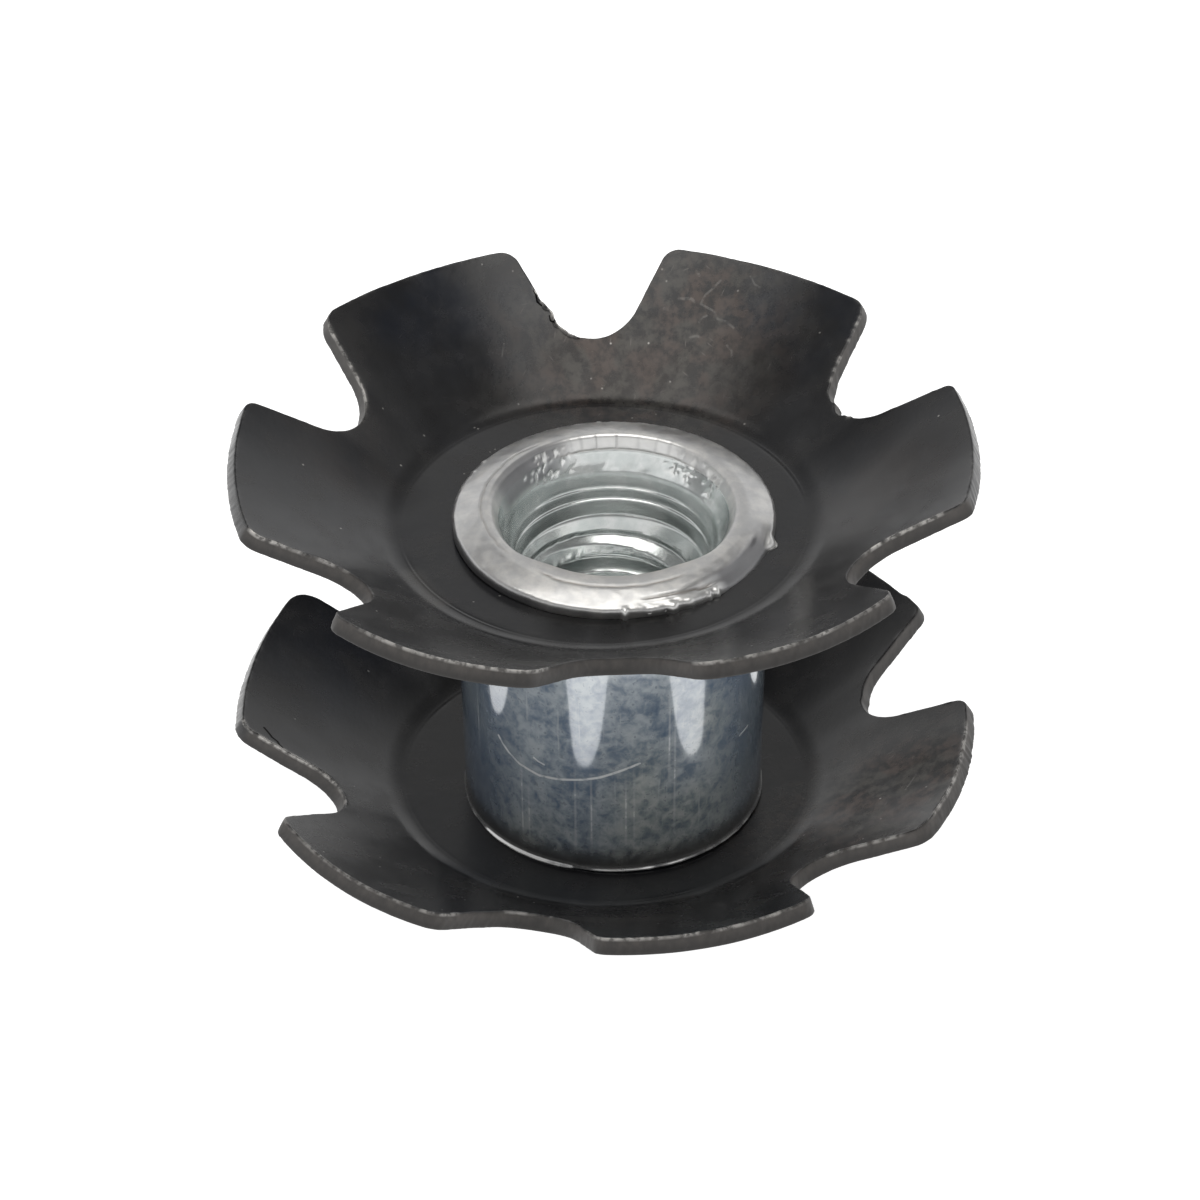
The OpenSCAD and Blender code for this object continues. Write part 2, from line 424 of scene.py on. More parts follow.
def black_up(az, rad):
    return np.clip(seg(az, rad, 150, 196, 12.45, 14, 6) + seg(az, rad, 348, 377, 12.45, 14, 6) + seg(az, rad, 45, 135, 12.45, 14, 8), 0, 1)


def black_lo(az, rad):
    return np.clip(seg(az, rad, 120, 184, 12.45, 14, 6) + seg(az, rad, 30, 110, 12.45, 14, 6), 0, 1)


def seg(az, rad, a0, a1, r0=0.0, r1=99.0, soft=1.5, rs=0.3):
    """Mask of the part of an outline between two azimuths and two radii."""
    return arc_mask(az, a0, a1, soft) * smooth(r0 - rs, r0 + rs, rad) * (1 - smooth(r1 - rs, r1 + rs, rad))


def dots(arc, seed, step, lo, hi):
    """Uneven dashes along an edge, 0..1."""
    return smooth(lo, hi, 0.5 + 0.5 * fnoise(arc / step, seed, 3, 0.6))


# (azimuth, root radius, centre radius, half angle lo, hi, corner lo, hi)
RHO, R0, B = 1.818, 11.317, 31.16
up_az = [91.97 + 60 * k + d for k, d in enumerate((0.06, 1.46, -0.95, -0.21, 1.08, -1.41))]
lo_az = [15.88 + 60 * k + d for k, d in enumerate((-0.39, 0.0, 0.0, -0.43, 0.04, 0.70))]
UP = [(a, RHO, R0, B, B, c0, c1) for a, c0, c1 in zip(up_az, (0.36, 0.50, 0.30, 0.36, 0.36, 0.20), (0.36, 0.26, 0.36, 0.36, 0.17, 0.40))]
LO = [(a, RHO, R0, B, B, c0, c1) for a, c0, c1 in zip(lo_az, (0.28, 0.36, 0.36, 0.36, 0.36, 0.30), (0.20, 0.36, 0.55, 0.24, 0.25, 0.36))]

upper = Washer(12.0, (-0.278, 0.031), (-0.56, -0.49), 91.97,
               [0.31, 0.02, -0.14, -0.03, 0.05, 0.13], [0.09, -0.36, 0.09, -0.10, 0.06, -0.02], 0.103, 1.0)
lower = Washer(0.8, (-0.291, 0.195), (0.18, 0.73), 15.88,
               [0.0, 0.0, 0.03, -0.14, -0.02, 0.01], [0.0, 0.0, -0.36, -0.01, 0.03, 0.15], 0.103, 2.0)
upper.die = ((14, 38, 0.9), (196, 240, 0.8))
lower.die = ((280, 293, 1.0), (120, 150, 0.5))


def edge_up(az, rad, arc):
    d = 0.012 * fnoise(arc / 0.9, 11, 3) + 0.007 * fnoise(arc / 0.16, 12, 2)
    torn = seg(az, rad, 94.5, 101.5, 9.3, 11.6, 1.5)
    d = d + torn * (0.075 * fnoise(arc / 0.34, 13, 3, 0.6) - 0.03)
    d = d + seg(az, rad, 94.5, 103, 9.3, 11.2, 1.0) * (0.15 * bump1(rad, 10.35, 0.38) - 0.06 * bump1(rad, 10.95, 0.22))
    nib = seg(az, rad, 26, 37.5, 9.2, 10.0, 1.5)
    d = d + nib * (0.10 * fnoise(arc / 0.3, 14, 2) - 0.01)
    d = d + 0.08 * np.exp(-((adiff(az, 32.5) / 1.1) ** 2)) * (rad < 10.4) - 0.06 * np.exp(-((adiff(az, 30.3) / 0.9) ** 2)) * (rad < 10.4)
    return d


def edge_lo(az, rad, arc):
    d = 0.012 * fnoise(arc / 0.9, 21, 3) + 0.007 * fnoise(arc / 0.16, 22, 2)
    d = d + 0.09 * seg(az, rad, 18, 33, 9.4, 12.9, 2.0) + 0.09 * seg(az, rad, 244, 264, 9.0, 10.8, 3.0)
    fuzzy = seg(az, rad, 345, 354, 12.2, 14)
    d = d + fuzzy * 0.035 * fnoise(arc / 0.16, 23, 2)
    return d


def burr_up(az, rad, arc):
    b = 0.012 * dots(arc, 31, 0.45, 0.45, 0.8)
    b = b + 0.03 * seg(az, rad, 196, 212, 9.4, 13.2) * dots(arc, 32, 0.35, 0.4, 0.7)
    b = b + 0.02 * seg(az, rad, 226, 258, 11.6, 14) * dots(arc, 33, 0.5, 0.3, 0.7)
    b = b + 0.02 * seg(az, rad, 285, 322, 11.6, 14) * dots(arc, 34, 0.5, 0.3, 0.7)
    b = b + 0.05 * seg(az, rad, 94.5, 101.5, 9.3, 11.6) * dots(arc, 35, 0.22, 0.4, 0.75)
    # flakes lifted beside the rear notch
    for a, r, k in ((101.6, 10.98, 0.10), (100.3, 10.70, 0.13), (99.4, 10.12, 0.12), (97.9, 9.83, 0.09), (96.6, 9.72, 0.05)):
        b = b + 1.35 * k * np.exp(-(((rad - r) / 0.11) ** 2 + (adiff(az, a) / 1.5) ** 2))
    return b


def burr_lo(az, rad, arc):
    b = 0.012 * dots(arc, 41, 0.45, 0.45, 0.8)
    b = b + 0.025 * seg(az, rad, 181, 200, 9.4, 13.2) * dots(arc, 42, 0.35, 0.3, 0.7)
    b = b + 0.02 * seg(az, rad, 265, 303, 11.8, 14) * dots(arc, 43, 0.4, 0.3, 0.7)
    b = b + 0.03 * seg(az, rad, 330, 354, 11.5, 14) * dots(arc, 44, 0.25, 0.3, 0.7)
    return b


# bright edge colour: partly real wear to bare steel, partly painted highlight along the top corners and on the lifted
# flakes
def wear_and_glint_up(az, rad, arc):
    w = 0.10 * dots(arc, 51, 0.8, 0.4, 0.8)
    w = w + 0.75 * seg(az, rad, 141, 149.5, 9.8, 12.6) * (0.45 + 0.55 * dots(arc, 52, 0.5, 0.3, 0.6))
    w = w + 0.9 * seg(az, rad, 197, 206, 9.6, 13.2) * (0.2 + 0.8 * dots(arc, 53, 0.4, 0.35, 0.6))
    w = w + 0.72 * seg(az, rad, 228, 262, 11.8, 14) * (0.30 + 0.70 * dots(arc, 54, 0.8, 0.2, 0.5))
    w = w + 0.66 * seg(az, rad, 284, 301, 11.6, 14) * (0.35 + 0.65 * dots(arc, 55, 0.6, 0.3, 0.6))
    w = w + 0.4 * seg(az, rad, 301, 321, 11.6, 14) * (0.5 + 0.5 * dots(arc, 56, 0.6, 0.3, 0.6))
    w = w + 0.9 * seg(az, rad, 337, 344.5, 9.7, 13.2) * dots(arc, 57, 0.55, 0.42, 0.6)
    w = w + 0.5 * seg(az, rad, 37, 45, 9.8, 12.4) * dots(arc, 58, 0.35, 0.5, 0.75)
    w = w + 0.95 * seg(az, rad, 94.5, 102, 9.3, 11.6) * dots(arc, 59, 0.22, 0.35, 0.55)
    for a, r, k, h in ((102.0, 11.16, 0.7, 0.10), (100.5, 10.74, 1.2, 0.12), (99.4, 10.12, 1.0, 0.12), (97.8, 9.83, 1.2, 0.10), (96.8, 9.72, 0.8, 0.08),
                       (42.4, 12.0, 1.0, 0.07), (39.2, 10.4, 0.9, 0.06), (37.0, 10.1, 0.8, 0.06), (27.0, 9.57, 0.7, 0.07), (305.6, 12.7, 1.3, 0.10)):
        w = w + k * np.exp(-(((rad - r) / h) ** 2 + (adiff(az, a) * 0.18 / h) ** 2) * 0.7)
    return np.clip(w, 0, 1)


# the same for the lower washer: real wear to bare steel and painted highlight along its top edges
def wear_and_glint_lo(az, rad, arc):
    w = 0.08 * dots(arc, 61, 0.8, 0.4, 0.8)
    w = w + 0.9 * seg(az, rad, 181, 199, 9.5, 13.2) * (0.25 + 0.75 * dots(arc, 62, 0.4, 0.3, 0.55))
    w = w + 0.5 * seg(az, rad, 205, 232, 11.8, 14) * (0.5 + 0.5 * dots(arc, 63, 0.8, 0.3, 0.6))
    w = w + 0.8 * seg(az, rad, 232, 245, 11.8, 14) * (0.4 + 0.6 * dots(arc, 64, 0.8, 0.3, 0.6))
    w = w + 0.6 * seg(az, rad, 246, 259, 8.5, 9.9) * (0.3 + 0.7 * dots(arc, 65, 0.4, 0.35, 0.6))
    w = w + 0.8 * seg(az, rad, 265, 303, 11.8, 14) * (0.3 + 0.7 * dots(arc, 66, 0.6, 0.3, 0.6))
    w = w + 0.6 * seg(az, rad, 318, 333, 9.6, 12.0) * (0.2 + 0.8 * dots(arc, 67, 0.4, 0.4, 0.6))
    w = w + 0.7 * seg(az, rad, 333, 357, 11.8, 14) * (0.3 + 0.7 * dots(arc, 68, 0.3, 0.3, 0.6))
    return np.clip(w, 0, 1)


# ---------------------------------------------------------------- barrel

FLANGE_OFF = np.array([0.064, -0.024])


def arc_pts(c, r, a0, a1, n):
    t = np.linspace(a0, a1, n) * RAD
    return [(c[0] + r * math.cos(x), c[1] + r * math.sin(x)) for x in t]


def subdivide(a, b, n):
    """n points after a, up to and with b."""
    return [(a[0] + (b[0] - a[0]) * i / n, a[1] + (b[1] - a[1]) * i / n) for i in range(1, n + 1)]


def thread_radius(z, th):
    """Radius of the tapped hole at height z and azimuth th in degrees: M6 x 1, right-handed."""
    ph = (z - (12.6 - 4.06) - (th - 90.0) / 360.0)
    ph = np.abs(ph - np.round(ph))
    r = 2.5 + np.clip((ph - 0.125) / math.tan(30 * RAD), 0, 0.52)
    return r


def lead_radius(z):
    """Radius of the tapered lead-in that cuts the first turns away."""
    h = z - 12.6
    return np.interp(h, [-9.6, -9.0, -3.15, -3.10, -2.42, -1.97, -1.95], [3.0, 2.45, 2.45, 2.50, 2.915, 3.20, 3.22])


def build_barrel():
    verts, faces, attrs = [], [], {"zone": [], "bright": [], "dirt": [], "dull": [], "matte": []}
    count = 0
    rows = []

    def add(r, z, th, zone, bright=0.0, dirt=0.0, dull=0.0, matte=0.0):
        nonlocal count
        n = len(th)
        r = np.broadcast_to(r, (n,)).astype(float)
        z = np.broadcast_to(z, (n,)).astype(float)
        k = smooth(11.95, 12.55, z)
        x = r * np.cos(th * RAD) + FLANGE_OFF[0] * k
        y = r * np.sin(th * RAD) + FLANGE_OFF[1] * k
        verts.append(np.stack([x, y, z], -1))
        attrs["zone"].append(np.full(n, float(zone)))
        attrs["bright"].append(np.broadcast_to(bright, (n,)).astype(float))
        attrs["dirt"].append(np.broadcast_to(dirt, (n,)).astype(float))
        attrs["dull"].append(np.broadcast_to(dull, (n,)).astype(float))
        attrs["matte"].append(np.broadcast_to(matte, (n,)).astype(float))
        rows.append((count, n))
        count += n

    def link(i0, n0, i1, n1):
        if n0 == n1:
            j = np.arange(n0)
            k = (j + 1) % n0
            faces.extend(np.stack([i0 + j, i0 + k, i1 + k, i1 + j], -1).tolist())
        elif n0 == 2 * n1:
            for j in range(n1):
                a, b = 2 * j, (2 * j + 1) % n0
                c, k = (2 * j + 2) % n0, (j + 1) % n1
                faces.append([i0 + a, i0 + b, i1 + j])
                faces.append([i0 + b, i1 + k, i1 + j])
                faces.append([i0 + b, i0 + c, i1 + k])
        else:
            for j in range(n0):
                a, b = 2 * j, (2 * j + 1) % n1
                c, k = (2 * j + 2) % n1, (j + 1) % n0
                faces.append([i0 + j, i1 + b, i1 + a])
                faces.append([i0 + j, i0 + k, i1 + b])
                faces.append([i0 + k, i1 + c, i1 + b])

    def angles(n):
        return np.arange(n) * 360.0 / n

    T144, T288, T576 = angles(144), angles(288), angles(576)

    # lower flange, hidden under the lower washer, from the bore's mouth outwards
    prof = arc_pts((4.45, 0.3), 0.3, 203, 270, 7)
    prof += subdivide(prof[-1], (5.25, 0.0), 3)
    prof += arc_pts((5.25, 0.35), 0.35, 270, 360, 8)[1:]
    prof += subdivide(prof[-1], (5.6, 0.75), 2) + [(5.55, 0.8)]
    prof += subdivide((5.55, 0.8), (4.3, 0.8), 3) + [(4.3, 1.1), (4.3, 1.4)]
    for i, (r, z) in enumerate(prof):
        rr = r + 0.02 * fnoise(T144 * 72 / 360, 71, 3, 0.5, 72) * smooth(4.6, 5.5, r) * (1 - smooth(0.70, 0.8, z))
        zz = z + 0.012 * fnoise(T144 * 48 / 360, 72, 3, 0.5, 48) * (1 if 0.0 < z < 0.6 else 0)
        zz = np.maximum(zz, 0.0)
        add(rr, zz, T144, 1)
    # foot of the thick part, pressed out a little against the washer
    left = arc_mask(T288, 212, 252, 14)
    gap = arc_mask(T288, 254.5, 260.5, 2)
    foot = (0.035 + 0.05 * left + 0.03 * fnoise(T288 * 60 / 360, 73, 3, 0.6, 60)) * (1 - gap)
    # painted highlight where the foot's rim catches the light, and the rest of the rim painted dull and dark
    lit = 0.25 + 0.75 * smooth(-0.25, 0.35, fnoise(T288 * 50 / 360, 75, 3, 0.6, 50) + 0.5 * left)
    rub = 0.75 * (1 - lit)
    add(4.7, 1.4, T288, 0)
    add(5.12, 1.4, T288, 0)
    add(5.20 + foot, 1.405, T288, 0, 0.8 * lit, 0.0, rub)
    add(5.222 + foot, 1.43, T288, 0, lit, 0.0, rub)
    add(5.215 + foot * 0.7, 1.465, T288, 0, lit, 0.0, rub)
    add(5.205 + foot * 0.3, 1.51, T288, 0, 0.5 * lit, 0.0, rub)
    add(5.195 + foot * 0.05, 1.56, T288, 0, 0.0)
    for z in (1.66, 1.8, 2.0):
        add(5.197 + 0.02 * (z - 1.6), z, T288, 0)
    zs = np.linspace(2.3, 11.4, 26)
    for z in zs:
        dent = 0.006 * fnoise(T288 * 12 / 360 + z * 0.6, 74, 2, 0.5, 12)
        add(5.20 + (z - 1.55) * 0.25 / 10.3 + dent, z, T288, 0)
    for r, z in ((5.44, 11.7), (5.448, 11.85), (5.40, 11.94), (5.30, 12.0), (4.9, 12.0), (4.3, 12.0), (4.3, 12.3), (4.3, 12.6), (4.9, 12.6)):
        add(r, z, T288, 0)

    # upper flange: rolled over, ragged at its edge
    th = T576
    edge = 0.018 * fnoise(th * 90 / 360, 81, 3, 0.6, 90)
    edge = edge + arc_mask(th, 35, 112, 8) * 0.030 * fnoise(th * 180 / 360, 82, 2, 0.6, 180)
    edge = edge + arc_mask(th, 268, 315, 6) * 0.035 * fnoise(th * 160 / 360, 83, 3, 0.6, 160)
    burrs = ((273.6, 1.7, 0.15), (291.5, 2.6, 0.13), (297.5, 2.5, 0.05), (309.5, 1.6, 0.10), (306.0, 1.2, 0.06), (345.5, 4.2, 0.16),
             (145.0, 1.5, 0.05), (152.0, 1.5, 0.04), (95.3, 1.6, 0.05))
    lump = 0.0
    for a, w, h in burrs:
        lump = lump + h * bump1(adiff(th, a), 0, w)
    # a thin lip turned out at the front, and a side rounded off beside it
    lip = arc_mask(th, 279, 313, 6)
    cham = arc_mask(th, 301, 347, 14)

    def drop(r):
        d = np.maximum(r - 4.90 + 0.03 * fnoise(th * 40 / 360, 80, 2, 0.5, 40), 0.0)
        k = smooth(0.0, 0.30, d)
        return cham * (1 - 0.55 * lip * smooth(5.25, 5.35, r)) * 0.48 * d * k + 0.05 * lip * smooth(5.22, 5.30, r) * (1 - cham)

    crack_r = 4.56 + 0.05 * np.sin((th - 130) * RAD * 3) + 0.03 * fnoise(th * 60 / 360, 84, 2, 0.5, 60)
    crack = arc_mask(th, 128, 214, 12)
    fold_r = 4.62 - 0.10 * smooth(250, 234, th) + 0.015 * fnoise(th * 70 / 360, 79, 3, 0.5, 70)
    fold = arc_mask(th, 236, 300, 10)
    lipline_r = 5.20 - 0.05 * smooth(300, 284, th) + 0.03 * fnoise(th * 80 / 360, 78, 3, 0.5, 80)
    lipline = arc_mask(th, 281, 309, 5)

    def grooves(r):
        """Depth and dirt of the fine folds in the flange's face."""
        a = np.exp(-((r - crack_r) / 0.035) ** 2) * crack
        b = np.exp(-((r - fold_r) / 0.030) ** 2) * fold
        c = np.exp(-((r - lipline_r) / 0.040) ** 2) * lipline
        return 0.055 * a + 0.030 * b + 0.055 * c, np.clip(0.45 * a + 0.9 * b + c, 0, 1)

    side = arc_mask(th, 180, 243, 22)
    specks = arc_mask(th, 30, 116, 10) * smooth(0.12, 0.42, fnoise(th * 170 / 360, 77, 3, 0.65, 170))
    outer = [(5.3, 0.0), (5.5, 0.0), (5.57, 0.01), (5.6, 0.05), (5.6, 0.12), (5.6, 0.19)]
    for r, h in outer:
        k = smooth(5.4, 5.6, r)
        wide = 1.0 + 0.5 * bump1(adiff(th, 345.5), 0, 5.0)
        add(r + edge * k + lump * k * 0.9 * wide, 12.6 + h * (1 - 0.62 * cham), th, 1, 0.9 * np.clip(lump * k / 0.10, 0, 1), 0.0,
            np.maximum(0.95 * side, 0.7 * cham * (1 - lip)))
    for i, (r, h) in enumerate(arc_pts((5.38, 0.24), 0.22, 0, 71, 10)):
        k = 1.0 - 0.5 * i / 9
        rag = 0.014 * fnoise(th * 220 / 360, 85, 2, 0.5, 220) * lip
        add(r + (edge + lump) * k, 12.6 + h - drop(np.full_like(th, r)) + lump * 0.25 * k + rag, th, 1,
            0.9 * np.clip(lump / 0.08, 0, 1) + 0.6 * lip * smooth(-0.3, 0.5, fnoise(th * 120 / 360, 86, 2, 0.5, 120)), 0.55 * specks,
            np.maximum(np.maximum(0.95 * side * (1 - i / 9.0), 0.9 * cham * (1 - 0.9 * lip)), 0.5 * specks) * (1 - np.clip(lump / 0.06, 0, 1)))
    # land, up to the crest
    p_out, p_in = (5.452, 0.448), (4.551, 0.727)
    n_land = 17
    for i in range(1, n_land + 1):
        f = i / n_land
        r = p_out[0] + (p_in[0] - p_out[0]) * f
        h = p_out[1] + (p_in[1] - p_out[1]) * f + 0.012 * math.sin(f * math.pi)
        rad_n = 0.005 * fnoise(th * 64 / 360 + 2.2 * f, 87, 2, 0.5, 64)
        gr, di = grooves(r)
        step = 0.030 * crack * smooth(0.02, -0.06, r - crack_r)
        ragged = lip * 0.022 * fnoise(th * 130 / 360 + 4 * f, 88, 3, 0.6, 130) * smooth(5.1, 5.4, r)
        add(r, 12.6 + h + rad_n - gr + step + ragged - drop(np.full_like(th, r)), th, 1, 0.55 * lip * smooth(5.24, 5.34, r), di,
            0.95 * cham * smooth(4.90, 5.10, r + 0.05 * fnoise(th * 70 / 360 + 3 * f, 80, 3, 0.6, 70)) * (1 - 0.9 * lip), smooth(0.80, 1.0, f))
    # crest, with a flat inner ledge at the front, and the chattered mouth of the bore
    ledge = arc_mask(th, 226, 312, 26)
    crest_rows = [(4.50, 0.740, 0.0), (4.46, 0.750, 0.0), (4.42, 0.755, 0.15), (4.39, 0.757, 0.40), (4.36, 0.757, 0.65), (4.33, 0.753, 0.85),
                  (4.30, 0.745, 1.0), (4.27, 0.733, 1.0), (4.235, 0.71, 1.0), (4.21, 0.68, 1.0), (4.193, 0.652, 1.0)]
    shiny = arc_mask(th, 57, 114, 7)
    smear = arc_mask(th, 116, 166, 20)
    nick = 0.0
    for a, w, k in ((110.8, 1.0, 0.35), (105.6, 1.4, 0.45), (98.2, 0.8, 1.0), (88.5, 0.9, 1.0), (78.0, 1.6, 0.30), (69.0, 1.3, 0.40), (62.0, 1.6, 0.45)):
        nick = nick + k * bump1(adiff(th, a), 0, w)
    for r, h, m in crest_rows:
        rr = r - 0.29 * ledge * m
        gr, di = grooves(rr)
        sh = shiny * smooth(0.5, 0.9, m)
        add(rr + 0.030 * nick * sh, 12.6 + h - 0.03 * ledge * m - gr + 0.003 * fnoise(th * 110 / 360, 89, 3, 0.6, 110), th, 1, 0.7 * sh * (1 - nick),
            np.maximum(di, 0.42 * ledge * m), np.maximum(0.75 * smear * smooth(0.3, 0.9, m), 0.35 * nick * sh), 1.0 - 0.9 * sh)
    # dents knocked into the mouth by the tool that opened it: (azimuth, height, half length, depth)
    dents = ((141.2, 0.18, 0.10, 0.030), (137.5, 0.01, 0.11, 0.022), (135.5, 0.19, 0.10, 0.026), (131.0, 0.18, 0.12, 0.030),
             (127.2, 0.18, 0.17, 0.045), (131.2, 0.50, 0.07, 0.022), (126.8, 0.41, 0.08, 0.026), (127.0, 0.60, 0.06, 0.015),
             (119.2, 0.55, 0.10, 0.026), (115.0, 0.53, 0.09, 0.024), (110.5, 0.47, 0.08, 0.016), (123.0, 0.28, 0.10, 0.020),
             (32.2, -0.15, 0.15, 0.034), (36.5, 0.07, 0.09, 0.022), (29.8, -0.38, 0.10, 0.024), (7.8, -0.28, 0.12, 0.024),
             (53.5, 0.09, 0.07, 0.026), (50.8, 0.02, 0.06, 0.024), (48.3, 0.10, 0.06, 0.022), (45.5, 0.05, 0.07, 0.028), (42.5, 0.12, 0.06, 0.016),
             (57.0, 0.14, 0.07, 0.014), (62.0, 0.10, 0.07, 0.012), (26.0, -0.15, 0.09, 0.014), (345.0, -0.2, 0.12, 0.014))
    flecky = arc_mask(th, 111, 135, 7) + 0.8 * arc_mask(th, 24, 60, 8)

    def flecks(h, k):
        """Small bright facets struck into the mouth on both sides of its smooth part."""
        v = noise3(np.stack([th * 0.0716 + 0.25 * h, np.full_like(th, 0.62 * h), np.full_like(th, 3.0 * k)], -1), 5.2, 2, 6.0)
        return flecky * smooth(0.10, 0.34, v)

    mouth = [(4.165, 0.60), (4.13, 0.535), (4.095, 0.47), (4.06, 0.41), (4.04, 0.372), (4.02, 0.335), (4.005, 0.31)]
    mouth += subdivide(mouth[-1], (3.66, -0.40), 18)
    for r, h in mouth:
        back = arc_mask(th, 50, 117, 22)
        k2 = smooth(-0.40, -0.2, h) * (1 - smooth(0.36, 0.47, h))
        chat = 0.009 * back * k2 * fnoise(th * 66 / 360 + 1.2 * h, 92, 2, 0.5, 66)
        lit = 0.0
        for a, h0, ln, dp in dents:
            g = np.exp(-((adiff(th, a - 11.0 * (h - h0)) / 1.05) ** 2) - ((h - h0) / (0.62 * ln)) ** 2)
            chat = chat + dp * g
            lit = np.maximum(lit, g * min(1.0, dp / 0.03))
        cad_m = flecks(h, 0.0) * smooth(-0.36, -0.15, h) * (1 - smooth(0.58, 0.70, h))
        chat = chat + 0.020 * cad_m
        lit = np.maximum(lit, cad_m)
        sh = shiny * smooth(0.30, 0.36, h)
        line = 0.022 * np.exp(-((h - 0.30) / 0.028) ** 2) * arc_mask(th, 55, 112, 8)
        dl = 0.45 * np.exp(-((h - 0.31) / 0.03) ** 2) * arc_mask(th, 40, 118, 8)
        add(r + chat + 0.030 * nick * sh + line - 0.29 * ledge * smooth(-0.3, 0.5, h),
            12.6 + h - 0.03 * ledge * smooth(0.2, 0.5, h), th, 2 if h < 0.3 else 1.5, np.maximum(0.8 * lit, 0.7 * sh * (1 - nick)), dl,
            np.maximum(0.92 * smear * smooth(-0.35, -0.02, h) * (1 - lit), 0.35 * nick * sh), smooth(0.40, 0.60, h) * (1 - 0.9 * sh) * (1 - lit))
    # bore: short steps left by the drill, clear at the back and faint at the sides, then the plain lead-in
    steps = [(3.63, 12.12), (3.60, 12.0), (3.57, 11.85), (3.54, 11.70), (3.53, 11.62), (3.505, 11.60), (3.475, 11.585), (3.465, 11.56),
             (3.45, 11.42), (3.43, 11.27), (3.42, 11.235), (3.375, 11.215), (3.345, 11.20), (3.335, 11.17), (3.31, 11.0), (3.28, 10.85),
             (3.262, 10.70), (3.25, 10.66), (3.225, 10.64), (3.20, 10.62)]
    th = T288
    for r, z in steps:
        if z > 11.4:
            sharp = 0.10 + 0.90 * arc_mask(th, 46, 134, 30)
        elif z > 10.9:
            sharp = 0.15 + 0.85 * arc_mask(th, 24, 156, 34)
        else:
            sharp = 1.0
        r_s = float(np.interp(z, [10.9, 12.12], [3.285, 3.63]))
        rear = arc_mask(th, 60, 120, 40)
        add(r_s + (r - r_s) * sharp + 0.0015 * rear * fnoise(th * 40 / 360, 94, 2, 0.5, 40), z + 0.006 * rear * fnoise(th * 24 / 360, 95, 2, 0.5, 24), th, 2)
    # threaded wall
    tz = list(np.linspace(10.58, 8.2, 60)) + list(np.linspace(8.10, 3.05, 42))
    t = T288
    for z in tz:
        base = thread_radius(z, t)
        lead = lead_radius(z)
        rr = np.maximum(base, lead)
        # the first turn's crest and the edge above it are torn
        torn = bump1(z, 9.58, 0.16) + bump1(z, 10.12, 0.10)
        rr = rr + torn * (0.030 * fnoise(t * 90 / 360 + z * 2, 96, 3, 0.6, 90) + 0.012 * fnoise(t * 220 / 360 + z * 5, 97, 2, 0.6, 220))
        foot_k = smooth(3.5, 3.05, z)
        rr = rr * (1 - foot_k) + np.maximum(rr, 2.55 + 0.45 * foot_k) * foot_k
        add(rr, z, t, 2, 0.0)
    for r, z in ((3.05, 2.75), (3.14, 2.5), (3.2, 2.3), (3.3, 2.0), (3.45, 1.75), (3.6, 1.4), (3.75, 1.17), (3.9, 0.82), (4.05, 0.48)):
        add(r, z, T288, 2)

    for (i0, n0), (i1, n1) in zip(rows[:-1], rows[1:]):
        link(i0, n0, i1, n1)
    link(rows[-1][0], rows[-1][1], rows[0][0], rows[0][1])
    V = np.vstack(verts)
    A = {k: np.concatenate(v) for k, v in attrs.items()}
    return new_mesh("barrel_rolled", V, faces, A)


# ---------------------------------------------------------------- materials


